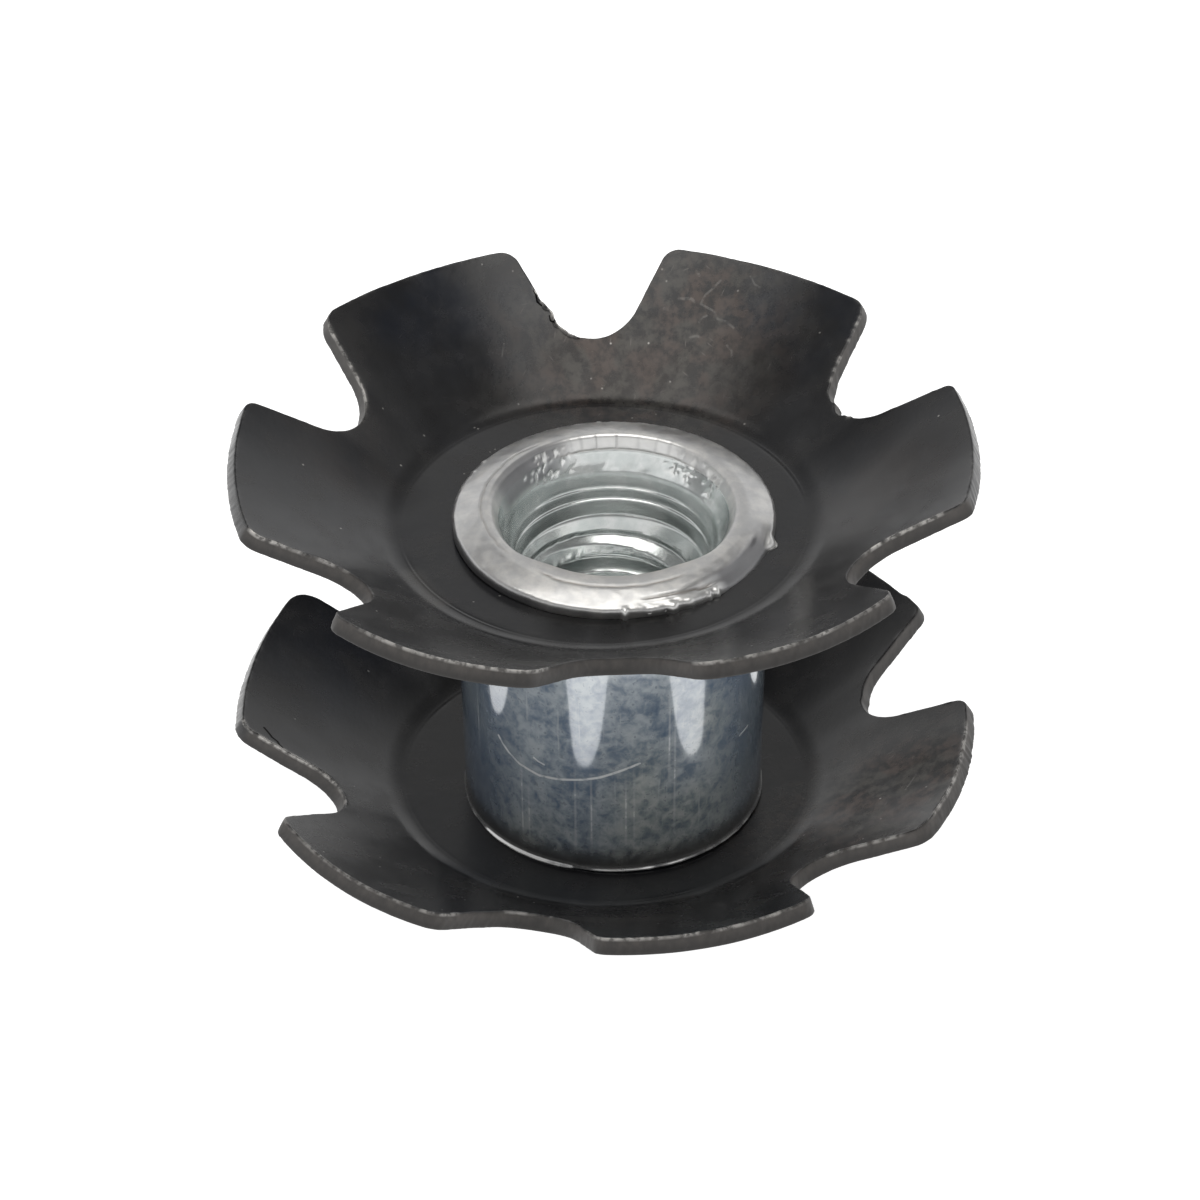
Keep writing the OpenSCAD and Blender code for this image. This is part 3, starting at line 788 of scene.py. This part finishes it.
class Nodes:
    def __init__(self, name):
        self.mat = bpy.data.materials.new(name)
        self.mat.use_nodes = True
        self.t = self.mat.node_tree
        self.t.nodes.clear()
        self.out = self.t.nodes.new("ShaderNodeOutputMaterial")
        self.bsdf = self.t.nodes.new("ShaderNodeBsdfPrincipled")
        self.t.links.new(self.bsdf.outputs[0], self.out.inputs[0])
        self.coord = self.t.nodes.new("ShaderNodeTexCoord").outputs["Object"]

    def put(self, socket, v):
        if isinstance(v, bpy.types.NodeSocket):
            self.t.links.new(v, socket)
        elif v is not None:
            socket.default_value = v

    def set(self, name, v):
        self.put(self.bsdf.inputs[name], v)

    def math(self, op, a, b=None, c=None, clamp=False):
        n = self.t.nodes.new("ShaderNodeMath")
        n.operation = op
        n.use_clamp = clamp
        for s, v in zip(n.inputs, (a, b, c)):
            self.put(s, v)
        return n.outputs[0]

    def vmath(self, op, a, b=None):
        n = self.t.nodes.new("ShaderNodeVectorMath")
        n.operation = op
        self.put(n.inputs[0], a)
        if b is not None:
            self.put(n.inputs[1], b)
        return n.outputs["Value"] if op in ("LENGTH", "DISTANCE", "DOT_PRODUCT") else n.outputs[0]

    def scale(self, v, s):
        return self.vmath("MULTIPLY", v, s if isinstance(s, tuple) else (s, s, s))

    def sep(self, v):
        n = self.t.nodes.new("ShaderNodeSeparateXYZ")
        self.put(n.inputs[0], v)
        return n.outputs

    def comb(self, x, y, z):
        n = self.t.nodes.new("ShaderNodeCombineXYZ")
        for s, v in zip(n.inputs, (x, y, z)):
            self.put(s, v)
        return n.outputs[0]

    def noise(self, vec, scale, detail=3.0, rough=0.5, dist=0.0, dims="3D"):
        n = self.t.nodes.new("ShaderNodeTexNoise")
        n.noise_dimensions = dims
        self.put(n.inputs["Vector"], vec)
        n.inputs["Scale"].default_value = scale
        n.inputs["Detail"].default_value = detail
        n.inputs["Roughness"].default_value = rough
        n.inputs["Distortion"].default_value = dist
        return n.outputs["Fac"]

    def voronoi(self, vec, scale, feature="F1", rand=1.0, dims="3D"):
        n = self.t.nodes.new("ShaderNodeTexVoronoi")
        n.voronoi_dimensions = dims
        n.feature = feature
        self.put(n.inputs["Vector"], vec)
        n.inputs["Scale"].default_value = scale
        n.inputs["Randomness"].default_value = rand
        return n

    def remap(self, v, a, b, c=0.0, d=1.0, smoothstep=True):
        n = self.t.nodes.new("ShaderNodeMapRange")
        n.interpolation_type = "SMOOTHSTEP" if smoothstep else "LINEAR"
        self.put(n.inputs["Value"], v)
        for k, x in zip(("From Min", "From Max", "To Min", "To Max"), (a, b, c, d)):
            n.inputs[k].default_value = x
        return n.outputs[0]

    def mix(self, f, a, b):
        n = self.t.nodes.new("ShaderNodeMix")
        n.data_type = "RGBA"
        n.clamp_factor = True
        self.put(n.inputs["Factor"], f)
        ins = [s for s in n.inputs if s.type == "RGBA"]
        self.put(ins[0], a)
        self.put(ins[1], b)
        return [s for s in n.outputs if s.type == "RGBA"][0]

    def mixf(self, f, a, b):
        n = self.t.nodes.new("ShaderNodeMix")
        n.data_type = "FLOAT"
        n.clamp_factor = True
        self.put(n.inputs[0], f)
        self.put(n.inputs[2], a)
        self.put(n.inputs[3], b)
        return n.outputs[0]

    def attr(self, name):
        n = self.t.nodes.new("ShaderNodeAttribute")
        n.attribute_name = name
        return n.outputs["Fac"]

    def near(self, vec, pts, r0, r1):
        """1 within r0 of any of the points, falling to 0 at r1."""
        out = None
        for p in pts:
            d = self.remap(self.vmath("DISTANCE", vec, p), r0, r1, 1.0, 0.0)
            out = d if out is None else self.math("MAXIMUM", out, d)
        return out

    def stroke(self, vec, pts, r0, r1):
        """1 within r0 of a line through the points, falling to 0 at r1."""
        out = None
        for a, b in zip(pts[:-1], pts[1:]):
            a, b = Vector(a), Vector(b)
            ab = b - a
            rel = self.vmath("SUBTRACT", vec, tuple(a))
            t = self.math("DIVIDE", self.vmath("DOT_PRODUCT", rel, tuple(ab)), ab.length_squared, clamp=True)
            foot = self.vmath("MULTIPLY", self.comb(t, t, t), tuple(ab))
            d = self.vmath("LENGTH", self.vmath("SUBTRACT", rel, foot))
            out = d if out is None else self.math("MINIMUM", out, d)
        return self.remap(out, r0, r1, 1.0, 0.0)

    def bump(self, height, strength, distance):
        n = self.t.nodes.new("ShaderNodeBump")
        n.inputs["Strength"].default_value = strength
        n.inputs["Distance"].default_value = distance
        self.put(n.inputs["Height"], height)
        return n.outputs[0]


def rgb(r, g, b):
    return (r, g, b, 1.0)


def mm3(*pts):
    return [(x * MM, y * MM, 0.0) for x, y in pts]


def black_steel(name, seed, tarnish, marks):
    n = Nodes(name)
    co = n.vmath("ADD", n.coord, (seed * 0.37, seed * 0.11, 0.0))
    x, y, z = n.sep(n.coord)
    plan = n.comb(x, y, 0.0)
    wear_and_glint, cut = n.attr("wear_and_glint"), n.attr("cut")
    big = n.noise(co, 130, 3, 0.55)
    mid = n.noise(co, 700, 4, 0.6)
    fine = n.noise(co, 5200, 3, 0.6)
    base = n.mix(n.remap(big, 0.35, 0.7), rgb(0.008, 0.0085, 0.0105), rgb(0.014, 0.0135, 0.0135))
    base = n.mix(n.math("MULTIPLY", n.remap(mid, 0.45, 0.75), 0.5), base, rgb(0.021, 0.019, 0.018))
    # parts of the sheet where the oxide is bluer, browner or darker; the plain grey patches are painted light that
    # lightens the sheet
    patchy = n.remap(n.noise(co, 420, 3, 0.6, dims="2D"), 0.22, 0.72)
    for pts, r0, r1, col, amount in marks["tints_and_light"]:
        m = n.math("MULTIPLY", n.near(plan, mm3(*pts), r0 * MM, r1 * MM), patchy)
        base = n.mix(n.math("MULTIPLY", m, amount), base, rgb(*col))
    # brownish, rubbed area with short strokes in it
    d = n.vmath("LENGTH", n.vmath("SUBTRACT", plan, tarnish))
    near_t = n.remap(d, 0.0022, 0.0066, 1.0, 0.0)
    blot = n.noise(co, 1900, 4, 0.68, dims="2D")
    area_m = n.math("MULTIPLY", near_t, n.remap(blot, 0.34, 0.66))
    base = n.mix(n.math("MULTIPLY", area_m, 0.75), base, n.mix(n.remap(n.noise(co, 600, 2, 0.5, dims="2D"), 0.45, 0.58), rgb(0.066, 0.050, 0.043), rgb(0.058, 0.054, 0.048)))
    rub = None
    for k, (ca, sa) in enumerate(((0.97, 0.26), (0.5, 0.87), (0.71, -0.71), (0.10, 0.99))):
        u = n.math("ADD", n.math("MULTIPLY", x, ca), n.math("MULTIPLY", y, sa))
        v = n.math("SUBTRACT", n.math("MULTIPLY", y, ca), n.math("MULTIPLY", x, sa))
        cell = n.voronoi(n.comb(n.math("MULTIPLY", u, 0.16), n.math("ADD", v, 0.013 * k), 0.0), 3300, dims="2D")
        hit = n.math("MULTIPLY", n.remap(cell.outputs["Distance"], 0.02, 0.10, 1.0, 0.0), n.remap(n.sep(cell.outputs["Color"])[0], 0.84, 0.90))
        rub = hit if rub is None else n.math("MAXIMUM", rub, hit)
    spread = n.math("ADD", n.math("MULTIPLY", near_t, 0.9), 0.10)
    rub = n.math("MULTIPLY", rub, n.math("MULTIPLY", spread, n.remap(n.noise(co, 900, 2, 0.5, dims="2D"), 0.36, 0.56)))
    base = n.mix(n.math("MULTIPLY", rub, 0.45), base, rgb(0.14, 0.126, 0.118))
    # cut faces: brown-grey, streaked
    streak = n.math("ADD", n.math("MULTIPLY", n.noise(n.scale(co, (1.0, 1.0, 0.5)), 3600, 4, 0.65), 0.6), n.math("MULTIPLY", n.noise(co, 500, 2, 0.5), 0.4))
    cutc = n.mix(n.remap(streak, 0.32, 0.68), rgb(0.034, 0.031, 0.029), rgb(0.064, 0.057, 0.052))
    # painted shade: the cut faces darken towards the underside
    cutc = n.mix(n.remap(n.math("ADD", n.attr("low"), n.math("MULTIPLY", mid, 0.3)), 0.35, 1.05, 0.0, 0.85), cutc, rgb(0.013, 0.0115, 0.0105))
    base = n.mix(n.remap(cut, 0.3, 0.9), base, cutc)
    # real wear mixed with painted highlight: the edge attribute lightens the top corners and flakes towards bare steel
    # colour
    worn_and_glint = n.math("MULTIPLY", wear_and_glint, n.remap(n.noise(co, 3800, 3, 0.6), 0.38, 0.58, 0.15, 1.0))
    # scratches and sparse bright specks
    scr = None
    for pts, w in marks["scratches"]:
        m = n.stroke(plan, mm3(*pts), 0.35 * w * MM, w * MM)
        scr = m if scr is None else n.math("MAXIMUM", scr, m)
    scr = n.math("MULTIPLY", scr, n.remap(n.noise(co, 4200, 2, 0.6, dims="2D"), 0.36, 0.52, 0.25, 1.0))
    soft = None
    for pts, w in marks["soft"]:
        m = n.stroke(plan, mm3(*pts), 0.1 * w * MM, w * MM)
        soft = m if soft is None else n.math("MAXIMUM", soft, m)
    base = n.mix(n.math("MULTIPLY", soft, 0.75), base, rgb(0.040, 0.038, 0.036))
    sp = n.voronoi(co, 1500, dims="2D")
    spk = n.remap(sp.outputs["Distance"], 0.02, 0.08, 1.0, 0.0)
    pick = n.remap(n.sep(sp.outputs["Color"])[0], 0.985, 0.990)
    speck = n.math("MAXIMUM", n.math("MULTIPLY", n.math("MULTIPLY", spk, pick), 0.4), n.math("MULTIPLY", n.near(n.vmath("ADD", plan, n.scale(n.comb(fine, mid, 0.0), 0.0001)), mm3(*[(x0 + 0.05, y0 + 0.05) for x0, y0 in marks["specks"]]), 0.005 * MM, 0.05 * MM), 0.30))
    bare = n.math("MAXIMUM", n.math("MAXIMUM", worn_and_glint, n.math("MULTIPLY", scr, 0.085)), speck, clamp=True)
    top = n.remap(n.math("MULTIPLY", cut, 1.0), 0.05, 0.2, 1.0, 0.0)
    bare = n.math("MAXIMUM", worn_and_glint, n.math("MULTIPLY", bare, top))
    base = n.mix(bare, base, rgb(0.66, 0.64, 0.61))
    dark = None
    for pts, w in marks["cracks"]:
        m = n.stroke(plan, mm3(*pts), 0.45 * w * MM, w * MM)
        dark = m if dark is None else n.math("MAXIMUM", dark, m)
    base = n.mix(n.math("MULTIPLY", dark, 0.97), base, rgb(0.0015, 0.0015, 0.0015))
    n.set("Base Color", base)
    # painted shade: the listed patches get a darker, more metallic sheen that dims their reflections
    shade_patches = None
    for pts, r0, r1, k in marks["shade_patches"]:
        m = n.math("MULTIPLY", n.near(plan, mm3(*pts), r0 * MM, r1 * MM), k)
        shade_patches = m if shade_patches is None else n.math("MAXIMUM", shade_patches, m)
    metal = n.math("MAXIMUM", n.math("MULTIPLY", n.math("MULTIPLY", shade_patches, n.remap(mid, 0.3, 0.6, 0.8, 1.0)), top), dark)
    n.set("Metallic", n.mixf(bare, metal, 0.6))
    rough = n.mixf(n.remap(mid, 0.35, 0.7), 0.20, 0.30)
    rough = n.mixf(n.remap(cut, 0.3, 0.9), rough, 0.55)
    rough = n.mixf(n.math("MAXIMUM", bare, dark), rough, 0.38)
    n.set("Roughness", rough)
    n.bsdf.inputs["Specular IOR Level"].default_value = 0.5
    h = n.math("ADD", n.math("MULTIPLY", fine, 0.35), n.math("MULTIPLY", mid, 0.65))
    n.set("Normal", n.bump(h, 0.35, 0.00002))
    return n.mat


def zinc_steel(name):
    n = Nodes(name)
    co = n.coord
    zone, bright = n.attr("zone"), n.attr("bright")
    x, y, z = n.sep(co)
    ang = n.math("ARCTAN2", y, x)
    cyl = n.comb(n.math("MULTIPLY", ang, 0.0053), z, 0.0)
    body = n.remap(zone, 0.2, 0.8, 1.0, 0.0)
    flange = n.math("MULTIPLY", n.remap(zone, 0.2, 0.8), n.remap(zone, 1.4, 1.9, 1.0, 0.0))
    dirt, dull, matte = n.attr("dirt"), n.attr("dull"), n.attr("matte")
    # blue-grey mottling of the barrel's wall: clear patches in a duller film
    m0 = n.noise(co, 420, 3, 0.55)
    m1 = n.noise(co, 2300, 3, 0.52, 0.4)
    m2 = n.noise(co, 6500, 2, 0.5)
    mott = n.math("ADD", n.math("ADD", n.math("MULTIPLY", m1, 0.52), n.math("MULTIPLY", m2, 0.14)), n.math("MULTIPLY", m0, 0.34))
    # painted shade: the barrel's left and right sides are darker, with weaker mottling
    flank_shade = n.remap(n.math("COSINE", n.math("MULTIPLY", n.math("ADD", ang, math.pi / 2), 2.0)), -0.75, 0.55, 1.0, 0.0)
    film = n.math("MULTIPLY", n.remap(mott, 0.34, 0.64), n.math("SUBTRACT", 1.0, n.math("MULTIPLY", flank_shade, 0.62)))
    m3 = n.noise(co, 150, 2, 0.5)
    bodyc = n.mix(film, n.mix(n.remap(m3, 0.4, 0.6), rgb(0.135, 0.185, 0.26), rgb(0.17, 0.215, 0.25)),
                  n.mix(n.remap(m3, 0.4, 0.6), rgb(0.44, 0.49, 0.52), rgb(0.49, 0.52, 0.50)))
    # painted shade on the same sides, towards dark blue
    bodyc = n.mix(n.math("MULTIPLY", flank_shade, 0.45), bodyc, rgb(0.075, 0.095, 0.135))
    bodyc = n.mix(n.math("MULTIPLY", n.remap(m2, 0.60, 0.70), 0.5), bodyc, rgb(0.12, 0.15, 0.20))
    lines = n.noise(n.scale(cyl, (1.0, 0.05, 1.0)), 6500, 3, 0.6)
    line_m = n.math("MULTIPLY", n.remap(lines, 0.60, 0.72), n.remap(n.noise(co, 260, 2, 0.5), 0.45, 0.6))
    bodyc = n.mix(n.math("MULTIPLY", line_m, 0.45), bodyc, rgb(0.56, 0.59, 0.60))

    def cp(*pts):
        return [((a - 360.0) * RAD * 5.3 * MM, h * MM, 0.0) for a, h in pts]

    # rub marks: a long curved one across the front, and short straight ones
    scr = n.stroke(cyl, cp((221.6, 6.10), (224.0, 5.85), (227.0, 5.62), (231.9, 5.37), (240.9, 5.19), (249.2, 5.26), (257.0, 5.40), (264.7, 5.58),
                           (272.2, 5.86), (279.8, 6.15)), 0.018 * MM, 0.075 * MM)
    scr = n.math("MULTIPLY", scr, n.remap(n.noise(co, 3000, 3, 0.6), 0.34, 0.52, 0.45, 1.0))
    for pts, w in (((238.8, 5.90), (240.8, 5.80), (243.1, 5.74)), 0.06), (((326.1, 5.61), (332.1, 5.68)), 0.065):
        scr = n.math("MAXIMUM", scr, n.math("MULTIPLY", n.stroke(cyl, cp(*pts), 0.2 * w * MM, w * MM), 0.75))
    u0, v0, _ = n.sep(cyl)
    for a, h0, h1, k in ((232.9, 2.4, 5.0, 0.7), (236.0, 2.2, 4.2, 0.5), (255.4, 2.9, 5.2, 0.7), (261.6, 2.7, 5.0, 0.8), (274.7, 3.0, 5.0, 0.7),
                         (277.8, 2.6, 5.2, 0.5), (291.4, 5.8, 8.3, 0.8), (293.7, 3.2, 7.6, 0.7), (208.3, 4.8, 7.2, 0.5), (380.0, 3.0, 7.0, 0.6),
                         (424.0, 5.0, 9.5, 0.6), (510.0, 2.5, 6.5, 0.6)):
        du = n.math("ABSOLUTE", n.math("SUBTRACT", u0, (a - 360.0) * RAD * 5.3 * MM))
        dv = n.math("ABSOLUTE", n.math("SUBTRACT", v0, (h0 + h1) / 2.0 * MM))
        m = n.remap(n.math("MAXIMUM", n.math("MULTIPLY", dv, 0.080 / (h1 - h0 + 0.8)), du), 0.006 * MM, 0.065 * MM, 0.5 * k, 0.0)
        scr = n.math("MAXIMUM", scr, m)
    bodyc = n.mix(n.math("MULTIPLY", scr, 0.8), bodyc, rgb(0.78, 0.79, 0.78))
    # painted shade: a darker, browner band at the foot, beside the lower washer
    foot = n.remap(n.math("ADD", z, n.math("MULTIPLY", m1, 0.0005)), 0.00185, 0.00290, 1.0, 0.0)
    bodyc = n.mix(n.math("MULTIPLY", foot, 0.9), bodyc, rgb(0.075, 0.070, 0.065))
    flc = n.mix(n.remap(n.noise(co, 1600, 4, 0.6), 0.35, 0.7), rgb(0.56, 0.56, 0.56), rgb(0.70, 0.69, 0.67))
    borec = n.mix(n.remap(n.noise(co, 1200, 3, 0.6), 0.35, 0.7), rgb(0.64, 0.68, 0.67), rgb(0.80, 0.82, 0.81))
    base = n.mix(flange, borec, flc)
    base = n.mix(body, base, bodyc)
    base = n.mix(n.math("MULTIPLY", bright, 0.8), base, rgb(0.92, 0.92, 0.90))
    base = n.mix(n.math("MULTIPLY", dull, 0.94), base, rgb(0.20, 0.20, 0.21))
    base = n.mix(n.math("MULTIPLY", dirt, 0.75), base, rgb(0.16, 0.125, 0.09))
    n.set("Base Color", base)
    n.set("Metallic", n.mixf(body, 0.92, n.mixf(foot, 0.25, 0.6)))
    r_body = n.mixf(film, 0.12, 0.24)
    r_fl = n.mixf(n.remap(n.noise(co, 2400, 3, 0.6), 0.35, 0.7), 0.31, 0.43)
    rough = n.mixf(flange, 0.23, r_fl)
    rough = n.mixf(body, rough, r_body)
    rough = n.mixf(n.math("MULTIPLY", scr, body), rough, 0.4)
    rough = n.mixf(dull, rough, 0.42)
    rough = n.mixf(matte, rough, 0.55)
    rough = n.mixf(dirt, rough, 0.5)
    n.set("Roughness", rough)
    n.set("Coat Weight", n.mixf(n.math("MAXIMUM", dull, matte), n.mixf(body, 0.35, 1.0), 0.15))
    n.bsdf.inputs["Coat Roughness"].default_value = 0.08
    n.bsdf.inputs["Coat IOR"].default_value = 2.6
    h = n.math("ADD", n.math("MULTIPLY", m1, 0.6), n.math("MULTIPLY", lines, 0.4))
    h = n.mixf(body, n.math("MULTIPLY", n.noise(co, 1400, 1, 0.4), 0.45), h)
    n.set("Normal", n.bump(h, 0.06, 0.00002))
    return n.mat


def floor_mat():
    n = Nodes("floor_white")
    f = n.noise(n.coord, 30, 2, 0.5)
    n.set("Base Color", n.mix(f, rgb(0.50, 0.50, 0.50), rgb(0.54, 0.54, 0.54)))
    n.set("Roughness", 0.9)
    n.bsdf.inputs["Emission Color"].default_value = (1, 1, 1, 1)
    n.bsdf.inputs["Emission Strength"].default_value = 0.95
    return n.mat


# ---------------------------------------------------------------- build

up = build_washer("upper_star", upper, UP, edge_up, burr_up, wear_and_glint_up, black_up, 100)
lo = build_washer("lower_star", lower, LO, edge_lo, burr_lo, wear_and_glint_lo, black_lo, 200)
ba = build_barrel()
BLUE, RED = (0.0095, 0.012, 0.019), (0.024, 0.0185, 0.0165)
up_marks = {
    "tints_and_light": [([(-5.6, 10.4), (-6.8, 9.0), (-3.6, 10.2)], 0.8, 3.0, BLUE, 0.8), ([(7.6, 8.6), (6.2, 10.0)], 0.8, 2.8, BLUE, 0.8),
              ([(-1.0, 8.6), (2.0, 8.4), (4.4, 7.4)], 0.9, 2.6, RED, 0.8), ([(-9.6, 3.0), (9.6, 0.0)], 1.0, 3.2, RED, 0.5),
              # the grey entry below is painted light on the back left and back right, near the bend
              ([(-5.9, 5.4), (-6.5, 7.0), (5.9, 5.2)], 0.5, 2.3, (0.021, 0.0212, 0.023), 0.9)],
    "scratches": [([(3.89, 11.16), (3.53, 10.86), (3.36, 10.75), (3.18, 10.45), (3.63, 10.13), (3.77, 9.82), (4.09, 9.66), (4.33, 9.39)], 0.055),
                  ([(2.43, 10.72), (2.86, 10.67), (2.96, 10.55)], 0.07), ([(3.13, 9.82), (3.21, 9.95), (3.38, 10.0)], 0.06),
                  ([(2.81, 9.34), (3.02, 9.36), (3.16, 9.29)], 0.06), ([(4.95, 11.11), (5.09, 10.79), (5.27, 10.64)], 0.045),
                  ([(3.05, 11.6), (3.15, 11.44)], 0.06), ([(-3.77, 9.08), (-3.84, 8.62)], 0.04), ([(1.9, 10.42), (2.01, 10.41)], 0.08),
                  ([(4.08, 8.83), (4.25, 8.6), (4.25, 8.42)], 0.05)],
    "soft": [([(6.62, -3.82), (6.58, -5.75), (6.46, -7.98), (6.26, -10.63)], 0.42), ([(-6.0, -4.6), (-6.9, -2.9)], 0.6)],
    "specks": [(-4.53, 11.7), (-3.46, 11.61), (-0.7, 8.17), (-0.31, 7.85), (2.08, 7.9), (-3.26, 7.09), (-4.8, 5.82), (-7.97, 5.31), (-6.56, 4.92),
               (1.57, 6.58), (0.74, 6.36), (-4.25, 4.39), (-4.08, 4.54), (-5.15, 3.1), (-4.75, -4.51), (-3.86, -4.18), (1.84, 11.77), (1.98, 11.35),
               (7.34, 8.28), (4.49, 10.7)],
    "cracks": [([(-2.72, 10.98), (-2.62, 10.80), (-2.60, 10.62), (-2.44, 10.49)], 0.035), ([(-2.16, 10.18), (-2.13, 10.02), (-1.98, 9.93)], 0.035)],
    # patches of painted shade: the front flat beside the flange and parts of the petals
    "shade_patches": [([(-1.4, -5.9), (0.0, -6.1), (1.4, -6.0)], 0.3, 1.6, 0.70), ([(-5.0, -8.1), (-2.8, -9.2)], 0.6, 2.7, 0.85),
             ([(4.9, -8.6), (8.9, -6.4)], 0.5, 2.4, 0.80), ([(-0.6, 8.8), (2.2, 9.0), (3.6, 10.0)], 1.0, 3.2, 0.38),
             ([(10.9, 0.6), (10.4, -1.6), (8.6, 3.2), (-8.3, 2.4)], 0.6, 2.4, 0.42), ([(-0.2, 6.7)], 0.4, 1.6, 0.45)],
}
lo_marks = {
    "tints_and_light": [([(-10.2, 3.4), (-9.0, 6.0)], 0.8, 2.8, BLUE, 0.7), ([(0.5, -9.8), (8.8, -6.6)], 0.8, 2.8, RED, 0.5),
              # the grey entry below is painted light on the front of the lower washer
              ([(0.5, -7.4)], 0.6, 2.6, (0.027, 0.0265, 0.027), 1.0)],
    "scratches": [([(8.2, -6.4), (8.9, -6.0)], 0.04), ([(10.2, -2.9), (10.6, -2.2)], 0.04)],
    "soft": [([(-1.6, -9.4), (1.8, -9.2)], 0.7)],
    "specks": [(-11.2, 1.1), (-9.1, -1.4), (-8.1, -7.1), (9.3, -4.3), (10.9, -3.3), (3.9, -9.9)],
    "cracks": [([(-12.24, -0.03), (-12.07, -0.23), (-11.96, -0.38), (-11.78, -0.49), (-11.71, -0.62), (-11.6, -0.72)], 0.06)],
    # a patch of painted shade on the right front of the lower washer
    "shade_patches": [([(9.4, -2.4), (10.9, -2.6), (8.4, -4.6)], 0.9, 3.0, 1.0)],
}
up.data.materials.append(black_steel("black_steel_upper", 1.0, (0.0012, 0.0098, 0.0), up_marks))
lo.data.materials.append(black_steel("black_steel_lower", 2.0, (0.0095, -0.0035, 0.0), lo_marks))
ba.data.materials.append(zinc_steel("zinc_plate"))
for ob, node, slot in ((up, "upper_star_washer", "black_spring_steel"), (lo, "lower_star_washer", "black_spring_steel"),
                       (ba, "threaded_barrel", "zinc_steel")):
    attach(ob, "root")
    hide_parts(node)

# floor
fm = bpy.data.meshes.new("floor")
S = 3.0
fm.from_pydata([(-S, -S, 0), (S, -S, 0), (S, S, 0), (-S, S, 0)], [], [(0, 1, 2, 3)])
floor = bpy.data.objects.new("floor", fm)
bpy.context.scene.collection.objects.link(floor)
floor.location.z = -0.00002
fm.materials.append(floor_mat())

# light: a pale tent that is darker half-way up, with a soft box over the part
world = bpy.data.worlds.new("soft_world")
bpy.context.scene.world = world
world.use_nodes = True
wt = world.node_tree
bg = wt.nodes["Background"]
bg.inputs[0].default_value = (1.0, 1.0, 1.0, 1.0)
w_co = wt.nodes.new("ShaderNodeTexCoord")
w_sep = wt.nodes.new("ShaderNodeSeparateXYZ")
w_map = wt.nodes.new("ShaderNodeMapRange")
w_map.interpolation_type = "SMOOTHSTEP"
for k, v in (("From Min", 0.38), ("From Max", 0.78), ("To Min", 1.0), ("To Max", 0.16)):
    w_map.inputs[k].default_value = v
wt.links.new(w_co.outputs["Generated"], w_sep.inputs[0])
wt.links.new(w_sep.outputs[2], w_map.inputs["Value"])
wt.links.new(w_map.outputs[0], bg.inputs[1])


def area(name, loc, target, size, power, color=(1, 1, 1)):
    d = bpy.data.lights.new(name, "AREA")
    d.shape = "RECTANGLE"
    d.size, d.size_y = size
    d.energy = power
    d.color = color
    o = bpy.data.objects.new(name, d)
    o.location = loc
    o.rotation_euler = (Vector(target) - Vector(loc)).to_track_quat("-Z", "Y").to_euler()
    bpy.context.scene.collection.objects.link(o)
    return o


area("softbox_top", (-0.025, 0.0, 0.40), (0, 0, 0.01), (0.30, 0.30), 0.62, (1.0, 0.985, 0.955))

# camera
el = 36.573 * RAD
target = np.array([-0.430, 0.0, 9.312])
D, F_PX, roll = 343.1, 9864.4, -0.304 * RAD
C = target + D * np.array([0.0, -math.cos(el), math.sin(el)])
fw = (target - C) / np.linalg.norm(target - C)
right = np.array([1.0, 0.0, 0.0])
upv = np.cross(right, fw)
r2 = math.cos(roll) * right + math.sin(roll) * upv
u2 = -math.sin(roll) * right + math.cos(roll) * upv
cd = bpy.data.cameras.new("camera")
cam = bpy.data.objects.new("camera", cd)
M = Matrix.Identity(4)
for i in range(3):
    M[i][0], M[i][1], M[i][2], M[i][3] = r2[i], u2[i], -fw[i], C[i] * MM
cam.matrix_world = M
cd.sensor_width = 36.0
cd.lens = F_PX * 36.0 / 1200.0
cd.clip_start, cd.clip_end = 0.01, 20.0
bpy.context.scene.collection.objects.link(cam)
bpy.context.scene.camera = cam
bpy.context.scene.view_settings.view_transform = "Standard"
bpy.context.scene.view_settings.look = "None"
